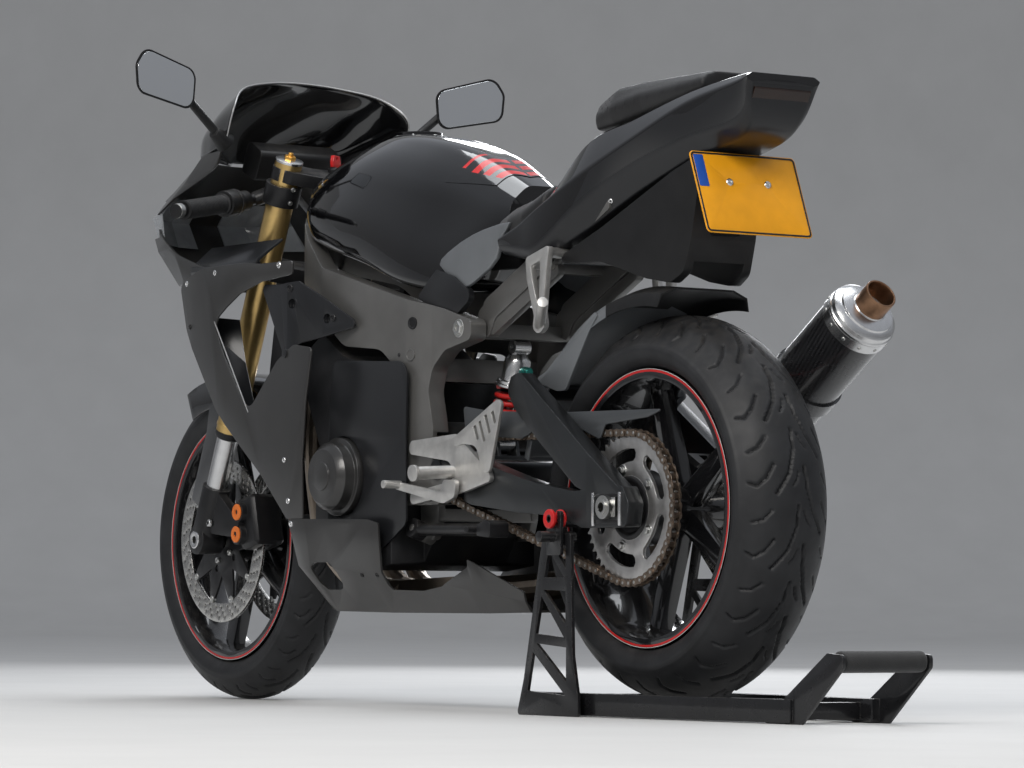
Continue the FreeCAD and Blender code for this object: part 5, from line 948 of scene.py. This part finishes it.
SCREEN_ARCHES = (
    ((1172, 190, 1028), (1143, 190, 1088), (1176, 152, 1130), (1212, 76, 1150), (1225, 0, 1156)),
    ((1262, 176, 1016.3), (1252, 174, 1068), (1266, 134, 1104), (1284, 68, 1122), (1290, 0, 1128)),
    ((1350, 140, 1016.3), (1348, 136, 1044), (1354, 104, 1064), (1362, 52, 1079), (1366, 0, 1083)),
    ((1440, 26, 1016.3), (1441, 24, 1021), (1442, 18, 1023), (1443, 9, 1024), (1443, 0, 1024.5)),
)


def screen():
    """The tall screen as a smooth shell through the arches, with a thin pale tube on its rounded edge as a
    painted highlight.
    """
    arches = []
    for row in SCREEN_ARCHES:
        whole = list(row) + [(x, -y, z) for x, y, z in row[-2::-1]]
        arches.append(curve_through(whole, 49))
    columns = [curve_through([arch[i] for arch in arches], 25) for i in range(49)]
    shape = Shape()
    grid = [[shape.bm.verts.new(at(*spot)) for spot in column] for column in columns]
    for left, right in zip(grid, grid[1:]):
        for a, b, c, d in zip(left, right, right[1:], left[1:]):
            shape.face((a, b, c, d), "screen")
    bmesh.ops.recalc_face_normals(shape.bm, faces=shape.bm.faces)
    bmesh.ops.solidify(shape.bm, geom=list(shape.bm.faces), thickness=3.2 * MM)
    shape.done("screen_shell", "chassis", NODE_SLOT["windscreen"], ("windscreen",), bevel=0.9, sharp=50)
    # painted highlight: a pale tube along the screen's first arch stands for the light its edge catches
    highlight_line = Shape()
    edge = [at(spot.x - 0.5, spot.y, spot.z) for spot in arches[0]]
    highlight_line.sweep(edge, 1.5, "edge", steps=8)
    highlight_line.done("screen_edge_highlight", "chassis", NODE_SLOT["windscreen"])


def seat_form(x, y, z, normal):
    """A pad that swells a little at its top and keeps its under side."""
    swell = max(normal.z, 0.0) * 3.0 + (1 - abs(normal.z)) * 1.2
    return x + normal.x * swell, y + normal.y * swell, z + max(normal.z, 0.0) * swell


def soft_parts():
    """Both seats and the stand's foam handle."""
    for name, form in (("rider_seat", seat_form), ("pillion_seat", pillion_form)):
        pad = node_like(name, 4.0, 14, "seat", form)
    foam = node_like("stand_handle", 3.2, 6, "foam")


PAD_ROWS, PAD_COLUMNS = 30, 36
PAD_STRIP = (4, 6)
PAD_CHEVRONS = (11, 12, 13, 14, 18, 19, 20, 21, 25, 26, 27, 28)


def pad_red(row, share):
    """Whether a cell of the tank's guard is red: a broken strip and three chevrons."""
    if PAD_STRIP[0] <= row < PAD_STRIP[1]:
        return 0.25 < abs(share) < 0.7
    return row in PAD_CHEVRONS and 0.08 < abs(share) < 0.78


def tank_pad(tank):
    """A thin guard over the tank's rear, chevrons across it."""
    tree = tree_of(tank.data)
    shape = Shape()
    outer, inner = [], []
    for row in range(PAD_ROWS + 1):
        high, low = [], []
        for column in range(PAD_COLUMNS + 1):
            share = 2 * column / PAD_COLUMNS - 1
            x = 556 - 106 * row / PAD_ROWS + 16 * abs(share)
            angle = math.radians(72) * share
            away = Vector((0, math.sin(angle), math.cos(angle)))
            place, normal, _, _ = tree.ray_cast(at(x, 0, 880) + away * 0.4, -away)
            normal = normal if normal.dot(away) > 0 else -normal
            high.append(shape.bm.verts.new(place + normal * (1.2 * MM)))
            low.append(shape.bm.verts.new(place - normal * (1.0 * MM)))
        outer.append(high)
        inner.append(low)
    for row in range(PAD_ROWS):
        for column in range(PAD_COLUMNS):
            share = 2 * (column + 0.5) / PAD_COLUMNS - 1
            for grid, look in ((outer, "red" if pad_red(row, share) else "screen"), (inner, "screen")):
                shape.face((grid[row][column], grid[row][column + 1], grid[row + 1][column + 1],
                            grid[row + 1][column]), look)
    rim = [(0, c) for c in range(PAD_COLUMNS)] + [(r, PAD_COLUMNS) for r in range(PAD_ROWS)]
    rim += [(PAD_ROWS, c) for c in range(PAD_COLUMNS, 0, -1)] + [(r, 0) for r in range(PAD_ROWS, 0, -1)]
    for (r0, c0), (r1, c1) in zip(rim, rim[1:] + rim[:1]):
        shape.face((outer[r0][c0], outer[r1][c1], inner[r1][c1], inner[r0][c0]), "screen")
    shape.done("tank_pad", "chassis", NODE_SLOT["fuel_tank"])


def bodywork():
    """The gloss forms: the tank with its guard and filler ring, and the tail."""
    tank_pad(skin("fuel_tank", TANK_ROWS, (16, 44, 44, 30), 64, "gloss", knee_hollow))
    skin("tail_cowl", TAIL_ROWS, (5, 7, 5, 4, 3), 72, "gloss", sharp=24, under=10, under_look="inner")
    filler = Shape()
    filler.spin(at(800, 0, 1004), ALONG_Z,
                [(33, 0), (51, 0), (51, 11.6), (48.5, 12.6), (40, 12.6), (38.6, 11.4), (33, 11.4)],
                "black_metal", steps=56, closed=True)
    for u, v in circle(800, 0, 45, 7, math.pi / 7):
        filler.bolt(at(u, v, 1016.4), ALONG_Z, 2.6, 1.6, "steel")
    filler.done("filler_ring", "chassis", "black_metal")


def softened(name, look, bevel=0.9, sharp=34.0, paint=None):
    """A copy of a rigid CAD node with rounded edges and even shading that stands for it."""
    bm = bmesh.new()
    bm.from_mesh(NODES[name].data)
    bmesh.ops.remove_doubles(bm, verts=bm.verts, dist=0.00004)
    bmesh.ops.dissolve_limit(bm, angle_limit=math.radians(1.5), verts=bm.verts, edges=bm.edges)
    data = bpy.data.meshes.new(name + "_skin")
    bm.to_mesh(data)
    bm.free()
    data.materials.clear()
    looks = [look]
    if paint:
        looks.append(paint[0])
        for face in data.polygons:
            middle = face.center
            if paint[1](middle.x / MM + AXLE_BACK, middle.y / MM, middle.z / MM):
                face.material_index = 1
    return settle(name + "_skin", data, looks, NODE_BODY[name], NODE_SLOT[name], (name,), bevel, sharp)


def rounded_section(row, radii, per_corner=5):
    """Half of a section from low to high: (half width, z) pairs with rounded corners."""
    corners = [Vector((0, row[2]))] + [Vector((row[i], row[i + 1])) for i in range(1, len(row), 2)]
    corners.append(Vector((0, row[-1])))
    line = [corners[0]]
    for index in range(1, len(corners) - 1):
        before, here, after = corners[index - 1:index + 2]
        into, out = (before - here), (after - here)
        room = min(radii[index - 1], into.length * 0.46, out.length * 0.46)
        start, end = here + into.normalized() * room, here + out.normalized() * room
        for step in range(per_corner):
            t = step / (per_corner - 1)
            line.append(start * (1 - t) ** 2 + here * 2 * t * (1 - t) + end * t * t)
    line.append(corners[-1])
    return line


def skin(name, table, radii, count, look, shape_point=None, sharp=46.0, under=0, under_look=None):
    """A smooth closed body through rounded sections that stands for a CAD node."""
    halves = [rounded_section(row, radii) for row in table]
    rows = []
    for row, half in zip(table, halves):
        whole = [(p.x, p.y) for p in half] + [(-p.x, p.y) for p in reversed(half[1:-1])]
        rows.append([Vector((row[0], y, z)) for y, z in whole])
    columns = [curve_through([row[i] for row in rows], count) for i in range(len(rows[0]))]
    shape = Shape()
    grid = []
    for column in columns:
        line = []
        for spot in column:
            x, y, z = spot
            if shape_point:
                x, y, z = shape_point(x, y, z)
            line.append(shape.bm.verts.new(at(x, y, z)))
        grid.append(line)
    for index, left in enumerate(grid):
        right = grid[(index + 1) % len(grid)]
        below = index < under or index >= len(grid) - under
        for a, b, c, d in zip(left, right, right[1:], left[1:]):
            shape.face((a, b, c, d), under_look if below else look)
    for end in (0, -1):
        ring = [line[end] for line in grid]
        middle = shape.bm.verts.new(sum((v.co for v in ring), Vector()) / len(ring))
        for a, b in zip(ring, ring[1:] + ring[:1]):
            shape.face((a, b, middle), look)
    return shape.done(name + "_form", NODE_BODY[name], NODE_SLOT[name], (name,), sharp=sharp)


TANK_ROWS = (
    (1003, 98, 846, 118, 886, 104, 926, 40, 940),
    (972, 122, 834, 134, 884, 116, 944, 46, 976),
    (880, 136, 808, 150, 872, 124, 962, 50, 1008),
    (775, 140, 780, 153, 856, 124, 966, 52, 1017),
    (650, 132, 736, 140, 812, 116, 940, 50, 996),
    (545, 110, 724, 112, 800, 98, 906, 44, 962),
    (470, 86, 774, 90, 824, 80, 882, 36, 926),
    (416, 64, 814, 68, 838, 62, 868, 28, 898),
)
TAIL_ROWS = (
    (357, 114, 770, 126, 780, 130, 796, 122, 800, 100, 795),
    (300, 116, 760, 127, 775, 128, 816, 114, 822, 100, 797),
    (246, 115, 757, 126, 776, 126, 842, 103, 847, 92, 836),
    (150, 96, 796, 112, 836, 116, 884, 92, 940, 84, 942),
    (20, 72, 856, 92, 892, 102, 934, 84, 972, 78, 974),
    (-110, 56, 900, 76, 926, 84, 984, 70, 1004, 64, 1005),
    (-228, 46, 931, 62, 949, 74, 1007, 62, 1019, 56, 1020),
    (-263, 60, 1005, 70, 1009, 74, 1014, 62, 1021, 56, 1021),
)


def knee_hollow(x, y, z):
    """Draws the tank's flanks in behind its widest place, as the knees need."""
    hollow = math.exp(-((x - 560) / 90) ** 2 - ((z - 850) / 60) ** 2)
    return x, y - math.copysign(7.0 * hollow * min(1.0, abs(y) / 90), y), z


def pillion_form(x, y, z, normal):
    """The rear pad: swollen a little, its front drawn back and rounded in plan."""
    x, y, z = seat_form(x, y, z, normal)
    if x > 20:
        x = 20 + (x - 20) * (0.62 - 0.14 * (y / 94) ** 2)
    return x, y, z


def side_hit(x, z, names, side=1):
    """The outer surface of the named nodes seen straight from the side at x and z."""
    return first_hit(at(x, 600 * side, z), ALONG_Y * -side, names)


PANELS = ("side_fairings", "belly_pan", "inner_panels", "nose_cowl", "frame", "fuel_tank", "tail_cowl",
          "swingarm", "engine_covers", "engine", "triple_clamps", "clip_ons", "hand_controls",
          "rider_footrests", "undertray", "chain_guard", "rear_hugger", "number_plate", "paddock_stand",
          "front_calipers", "fork_feet")


def screws():
    """Fasteners of panels, frame and footrests, each seated on the surface under it."""
    shape = Shape()
    # Each screw: its pixel in the photograph's frame, radius, height and look.
    spots = (
        (187, 284, 5.5, 2.2, "bright"), (215, 273, 5.5, 2.2, "bright"), (279, 265, 6.0, 2.4, "bright"),
        (190, 327, 5.0, 2.0, "black_metal"), (289, 548, 5.5, 2.2, "bright"), (288, 501, 5.5, 2.2, "bright"),
        (291, 524, 5.5, 2.2, "bright"), (284, 460, 5.0, 2.0, "bright"), (290, 288, 7.0, 2.5, "black_metal"),
        (333, 318, 7.0, 2.5, "black_metal"), (611, 201, 4.5, 2.0, "bright"),
        (362, 575, 4.5, 2.0, "black_metal"), (377, 575, 4.5, 2.0, "black_metal"),
        (399, 355, 3.5, 1.2, "black_metal"),
    )
    for px, py, radius, high, look in spots:
        found = hit(px, py, PANELS)
        if found:
            shape.bolt(found[0], found[1], radius, high, look)
            if side_hit(found[0].x / MM + AXLE_BACK, found[0].z / MM, PANELS, -1):
                shape.bolt(flipped(found[0], -1), flipped(found[1], -1), radius, high, look)
    shape.done("panel_screws", "chassis", "bare_steel")

    marks = Shape()
    for px, py, radius, look in ((412.7, 323.0, 11.0, "black_metal"), (410.5, 355.0, 11.0, "frame")):
        found = hit(px, py, ("frame",))
        if not found:
            continue
        for side in (1, -1):
            marks.spin(flipped(found[0], side), flipped(found[1], side),
                       [(0, 0.5), (radius * 0.68, 0.5), (radius * 0.74, 1.8), (radius * 0.95, 1.8),
                        (radius, -0.8), (0, -0.8)], look, steps=32)
    for x, z in ((478, 652), (541, 412)):
        found = side_hit(x, z, ("frame",))
        if found:
            for side in (1, -1):
                spot = flipped(found[0], side)
                marks.spin(spot, ALONG_Y * side,
                           [(0, 2.2), (6, 2.2), (7, 5.2), (11, 5.2), (12.5, 3.6), (12.5, -1), (0, -1)],
                           "steel", steps=6)
                marks.spin(spot, ALONG_Y * side, [(0, 0.9), (15, 0.9), (16, 0.2), (16, -0.8), (0, -0.8)],
                           "steel", steps=28)
    marks.done("frame_marks", "chassis", NODE_SLOT["frame"])


def fine_lines():
    """Thin pale tubes along the edges of the side openings, as painted highlights of the light those edges
    catch.
    """
    shape = Shape()
    for side in (1, -1):
        line = []
        for x, z in ((1160, 694), (1121, 634), (1080, 578), (1042, 524)):
            found = side_hit(x - 7, z + 1, ("side_fairings",), side)
            if found:
                line.append(found[0])
        if len(line) > 1:
            # painted highlight along the opening's edge
            shape.sweep(curve_through(line, 16), 1.2, "edge", steps=8)
    shape.done("opening_edge_highlights", "chassis", NODE_SLOT["side_fairings"])


def number_plate():
    """The blank plate on its black bracket and arm."""
    lean = math.radians(21)
    down = Vector((-math.sin(lean), 0, -math.cos(lean)))
    out = Vector((-math.cos(lean), 0, math.sin(lean)))
    face = at(-152, 0, 903) + out * (2.0 * MM)
    shape = Shape()
    shape.cut_plate([rounded_box(-105, 105, 0, 143, 8), circle(-38, 52, 3, 14), circle(38, 52, 3, 14)],
                    face, ALONG_Y, down, 2.0, "plate")
    shape.cut_plate([rounded_box(-103.5, 103.5, 1.5, 141.5, 7), rounded_box(-100.6, 100.6, 4.4, 138.6, 5)],
                    face + out * (0.7 * MM), ALONG_Y, down, 0.9, "black_metal")
    shape.cut_plate([rounded_box(80, 99, 6, 62, 1.5)], face + out * (0.5 * MM), ALONG_Y, down, 0.7, "blue")
    for across in (-38, 38):
        spot = face + ALONG_Y * (across * MM) + down * (52 * MM)
        shape.spin(spot, out,
                   [(0, 1.1), (2.2, 1.1), (2.7, 2.6), (5.4, 2.3), (6.6, 0.8), (6.6, -1.2), (0, -1.2)],
                   "bright", steps=20)
    back = at(-152, 0, 903) - out * (0.3 * MM)
    shape.cut_plate([rounded_box(-55, 55, 16, 112, 6), circle(0, 60, 14, 24)], back, ALONG_Y, down, 4.4,
                    "black_metal")
    side = [(-149, 893), (-120, 881), (-98, 772), (-186, 801)]
    shape.cut_plate([side], Vector((-AXLE_BACK * MM, -26 * MM, 0)), ALONG_X, ALONG_Z, 52, "black_metal")
    shape.done("blank_plate", "chassis", NODE_SLOT["number_plate"], ("number_plate",), bevel=0.3)


def rounded_box(u0, u1, v0, v1, radius):
    loop = []
    for cu, cv, start in ((u1 - radius, v1 - radius, 0), (u0 + radius, v1 - radius, 90),
                          (u0 + radius, v0 + radius, 180), (u1 - radius, v0 + radius, 270)):
        for turn in range(0, 91, 15):
            angle = math.radians(start + turn)
            loop.append((cu + radius * math.cos(angle), cv + radius * math.sin(angle)))
    return loop


def shock():
    """The damper: eyes, rod, red spring, seats, polished body and its adjuster."""
    low, top = at(528, 0, 458), at(480, 0, 624)
    way = (top - low).normalized()
    shape = Shape()
    for spot in (low, top):
        shape.spin(spot - ALONG_Y * (16 * MM), ALONG_Y, [(5, 0), (12, 0), (12, 32), (5, 32)], "bright",
                   steps=28, closed=True)
    shape.spin(low, way, [(0, 8), (7, 8), (7, 110), (0, 110)], "steel", steps=24)
    shape.spin(low, way, [(0, 16), (20, 16), (33, 20), (33, 26), (14, 27), (0, 27)], "bright", steps=40)
    shape.spin(low, way,
               [(0, 103), (33, 104), (33, 108), (30, 109), (30, 114), (24, 115), (23, 150), (18, 158),
                (14, 164), (0, 164)], "bright", steps=40)
    side = way.orthogonal().normalized()
    other = way.cross(side)
    coil = []
    coil_steps, coil_turns = 170, 5.0
    for step in range(coil_steps + 1):
        share = step / coil_steps
        angle = share * coil_turns * 2 * math.pi
        along = 31.5 + share * 67
        coil.append(low + way * (along * MM) + (side * math.cos(angle) + other * math.sin(angle)) * (26 * MM))
    shape.sweep(coil, 4.6, "spring", steps=10)
    knob = low + way * (128 * MM)
    shape.spin(knob - ALONG_X * (22 * MM), -ALONG_X,
               [(0, 22), (6, 22), (7.5, 20), (7.5, 12), (9, 11), (9, 0), (0, 0)], "teal", steps=12)
    shape.done("damper", "chassis", NODE_SLOT["shock_absorber"], ("shock_absorber",), bevel=0.0)


RAKE = math.radians(23.3)
UP_FORK = Vector((-math.sin(RAKE), 0, math.cos(RAKE)))
FORE_FORK = Vector((math.cos(RAKE), 0, math.sin(RAKE)))


def fork_point(along, side):
    """A point of a fork tube's middle line, measured up from the top clamp."""
    return at(1072.0, 102 * side, 945) + UP_FORK * (along * MM) + FORE_FORK * (35 * MM)


def fork_details():
    """Caps, adjusters, clamp screws, dust seals, axle ends and caliper caps."""
    shape = Shape()
    for side in (1, -1):
        top = fork_point(38, side)
        shape.spin(top, UP_FORK, [(0, 2.2), (13, 2.2), (22, 1.4), (26.2, 0.4), (26.2, -4), (0, -4)], "bright",
                   steps=40)
        shape.spin(top, UP_FORK, [(0, 14), (4.5, 14), (5, 13.5), (5, 8), (10.5, 8), (11, 7), (11, 1), (0, 1)],
                   "brass", steps=6)
        seal = fork_point(-499.5, side)
        shape.spin(seal, UP_FORK, [(20.7, 3), (27, 3), (27.2, -2), (25, -9), (22, -11), (20.7, -11)],
                   "black_metal", steps=40, closed=True)
        shape.spin(seal, UP_FORK, [(25.6, 12), (26.6, 12.6), (26.6, 18), (25.6, 18.6)], "gold", steps=40,
                   closed=True)
        for along in (-8, -34):
            spot = fork_point(along, side) + FORE_FORK * (-34 * MM)
            shape.bolt(spot, -FORE_FORK, 4.5, 4.0, "steel")
        end = at(FRONT_AXLE[0], 128 * side, FRONT_AXLE[1])
        shape.spin(end, ALONG_Y * side, [(7.4, 0.6), (9.0, 1.4), (15, 1.4), (16.6, 0), (16.6, -7), (7.4, -7)],
                   "bright", steps=36, closed=True)
        for x, z in ((1256, 350), (1259, 309)):
            spot = at(x, 110.2 * side, z)
            shape.spin(spot, ALONG_Y * side,
                       [(0, 0.8), (5.0, 0.8), (5.2, 2.6), (14, 2.8), (15.5, 1.6), (15.5, -1), (0, -1)],
                       "orange", steps=30)
            shape.spin(spot, ALONG_Y * side, [(0, 0.9), (4.4, 0.9), (4.4, -0.6), (0, -0.6)],
                       "black_metal", steps=6)
        found = hit(210, 523, ("fork_feet", "front_calipers"))
        if found:
            shape.bolt(flipped(found[0], side), ALONG_Y * side, 8, 5.5, "bright")
    shape.done("fork_fittings", "steering", NODE_SLOT["fork_legs"])


def bar_point(reach, side=1):
    """A point of a handlebar's middle line, measured out from the fork tube."""
    way = Vector((-0.40, 0.90, -0.17)).normalized()
    spot = Vector((1163, 130, 926)) + way * reach
    return at(spot.x, spot.y * side, spot.z)


def cockpit():
    """Grips with their ribs, bar ends, the red button and key, and the fluid cup."""
    shape = Shape()
    for side in (1, -1):
        start = bar_point(104, side)
        axis = (bar_point(226, side) - start).normalized()
        rows = [(11.2, 0), (19.5, 0.2), (20, 3), (17.2, 5)]
        for rib in range(26):
            along = 7 + rib * 4.2
            rows += [(16.6, along), (17.3, along + 0.7), (17.3, along + 2.6), (16.6, along + 3.3)]
        rows += [(17.6, 117), (17.6, 121), (11.2, 121.8)]
        shape.spin(start, axis, rows, "grip", steps=36, closed=True)
        end = bar_point(232.2, side)
        shape.spin(end, axis,
                   [(0, 17.4), (6, 17.4), (7, 15), (10.8, 17.0), (13.4, 15), (13.4, 3), (11.5, 0), (0, 0)],
                   "steel", steps=32)
        shape.spin(bar_point(64, side), axis, [(24.3, 3), (25, 4), (25, 9), (24.3, 10)], "black_metal",
                   steps=36, closed=True)
    found = hit(261, 170, ("hand_controls", "clip_ons", "triple_clamps"))
    if found:
        shape.spin(found[0], Vector((-0.5, 0.6, 0.6)), [(0, 7.5), (4.5, 7), (6, 5), (6, -3), (0, -3)],
                   "red", steps=20)
    cup = at(1128, -150, 968)
    shape.spin(cup, ALONG_Z, [(0, 4), (22.6, 4), (23.4, 6), (23.4, 22), (0, 22)], "beige", steps=40)
    shape.spin(cup, ALONG_Z, [(0, 22), (24, 22), (25, 24), (25, 33), (23, 36), (0, 36)], "black_metal",
               steps=40)
    shape.done("bar_fittings", "steering", NODE_SLOT["hand_controls"])

    key = Shape()
    spot = at(1080, 6, 972)
    key.spin(spot, ALONG_Z, [(0, 12), (15, 12), (17, 9), (17, -12), (0, -12)], "black_metal", steps=36)
    fob = [(-13, 0), (13, 0), (15, 10), (11, 22), (-11, 22), (-15, 10)]
    key.cut_plate([fob, circle(0, 16, 3, 12)], spot + Vector((0.004, 0.004, 0.013)),
                  Vector((-0.5, 0.86, 0)).normalized(), ALONG_Z, 7, "red")
    key.done("ignition_key", "steering", NODE_SLOT["triple_clamps"], bevel=1.0)


def silencer_end():
    """The silencer's stepped polished cap and bronze outlet, and the band behind it with its rivets."""
    tilt = math.radians(34)
    way = Vector((math.cos(tilt), 0, -math.sin(tilt)))
    start = at(-252, -178, 656) + way * (19.9 * MM)
    shape = Shape()
    shape.spin(start, -way,
               [(0, 1), (59.5, 0), (59.5, 4), (57.5, 6), (56.5, 13), (50, 19), (47, 20), (46, 23.5), (35, 27),
                (29, 28), (27, 30), (22, 30), (22, 26), (0, 26)], "bright", steps=72)
    shape.spin(start, -way, [(23.2, 24), (27.2, 24), (27.2, 62.5), (26.5, 63.9), (24, 63.9), (23.2, 62)],
               "bronze", steps=56, closed=True)
    shape.done("silencer_cap_steps", "chassis", NODE_SLOT["silencer_cap"], ("silencer_cap",))
    band = Shape()
    side = way.orthogonal().normalized()
    other = way.cross(side)
    ring = start + way * (10 * MM)
    band.spin(ring, way, [(58.1, -9.6), (59.4, -9.2), (59.4, 9.2), (58.1, 9.6)], "bright", steps=72,
              closed=True)
    for angle in turns(12):
        out = side * math.cos(angle) + other * math.sin(angle)
        band.bolt(ring + out * (59.2 * MM), out, 3.0, 1.6, "steel", socket=False)
    band.done("silencer_band", "chassis", NODE_SLOT["silencer_cap"])


def block(shape, low, high, look):
    """A box between two corners, in millimetres."""
    spots = [at(x, y, z) for x in (low[0], high[0]) for y in (low[1], high[1]) for z in (low[2], high[2])]
    verts = [shape.bm.verts.new(p) for p in spots]
    for ring in ((0, 1, 3, 2), (4, 6, 7, 5), (0, 4, 5, 1), (2, 3, 7, 6), (0, 2, 6, 4), (1, 5, 7, 3)):
        shape.face([verts[i] for i in ring], look)


def arm_details():
    """Chain adjusters with silver bars, and the red lifting spools."""
    shape = Shape()
    for side in (1, -1):
        spool = at(132, 151 * side, 321)
        shape.spin(spool, ALONG_Y * side,
                   [(0, 0), (15.5, 0), (16, 1), (16, 4), (10, 8), (10, 17), (16, 21), (16, 25), (15, 26),
                    (7, 26), (6, 22), (0, 22)], "red", steps=36)
        shape.spin(spool, ALONG_Y * side, [(0, 25), (5.5, 25), (5.5, 20), (0, 20)], "steel", steps=6)
        near, far = sorted((150.4 * side, 157 * side))
        for x in (36, -38):
            block(shape, (x - 3.0, near, 308), (x + 3.0, far, 362), "bright")
        near, far = sorted((150.4 * side, 152.6 * side))
        for z in (312, 354):
            block(shape, (-34, near, z), (32, far, z + 6), "black_metal")
    shape.done("adjuster_bars", "chassis", NODE_SLOT["swingarm"], bevel=0.8)


def flat_at(px, py, y):
    """Where a pixel's sight line crosses the upright plane at y: its x and z."""
    way = sight(px, py)
    spot = CAMERA_AT + way * ((y * MM - CAMERA_AT.y) / way.y)
    return spot.x / MM + AXLE_BACK, spot.z / MM


def knee_panels():
    """The satin panels between the frame, the tank and the seat."""
    outline = ((439, 265), (441, 259), (448, 252), (461, 242), (474, 234), (485, 229), (499, 224), (510, 222),
               (506, 231), (500, 241), (499, 250), (497, 258), (490, 268), (481, 276), (472, 284), (466, 288),
               (455, 282), (446, 274))
    loop = [flat_at(px, py, 119) for px, py in outline]
    shape = Shape()
    shape.cut_plate([loop], Vector((-AXLE_BACK * MM, 112 * MM, 0)), ALONG_X, ALONG_Z, 9, "satin")
    for vertex in shape.bm.verts:
        x = vertex.co.x / MM + AXLE_BACK
        vertex.co.y -= max(0.0, (x - 470) / 90) * 2.0 * MM
    shape.mirror()
    shape.done("knee_panels", "chassis", NODE_SLOT["side_fairings"], bevel=2.4, sharp=50)


SOFTENED = (
    ("side_fairings", "panel", 1.0), ("belly_pan", "panel", 1.0), ("inner_panels", "inner", 0.7),
    ("nose_cowl", "panel", 0.8), ("front_mudguard", "gloss", 0.9), ("frame", "frame", 1.6),
    ("swingarm", "arm", 1.8), ("subframe", "frame", 0.9), ("undertray", "plastic", 1.2),
    ("chain_guard", "satin_dark", 0.9), ("engine", "engine", 1.2), ("engine_covers", "panel", 1.0),
    ("front_calipers", "black_metal", 1.0), ("fork_feet", "black_metal", 1.2),
    ("triple_clamps", "black_metal", 1.2), ("clip_ons", "black_metal", 0.8),
    ("hand_controls", "plastic", 0.7), ("rider_footrests", "cast", 0.7),
    ("pillion_footrests", "cast", 0.8), ("mirrors", "plastic", 1.0),
    ("instrument_panel", "plastic", 1.5), ("paddock_stand", "stand", 0.9),
    ("side_stand", "black_metal", 0.8), ("front_rim", "wheel", 1.0), ("rear_rim", "wheel", 1.0),
)

add_camera()
add_light()
add_floor()
dress_nodes()
tyre("front_tyre", FRONT_AXLE, 57.0, FRONT_OUTLINE, FRONT_GROOVES, 20, 760, 58.0)
tyre("rear_tyre", REAR_AXLE, 90.0, REAR_OUTLINE, REAR_GROOVES, 16, 800, 92.0)
rim_stripes()
front_discs()
sprocket_and_chain()
screen()
bodywork()
soft_parts()
for soft_name, soft_look, soft_bevel in SOFTENED:
    softened(soft_name, soft_look, soft_bevel)
softened("rear_hugger", "plastic", 1.2, paint=("satin", lambda x, y, z: x > 96 and z < 672))
number_plate()
shock()
fork_details()
cockpit()
silencer_end()
arm_details()
knee_panels()
screws()
fine_lines()
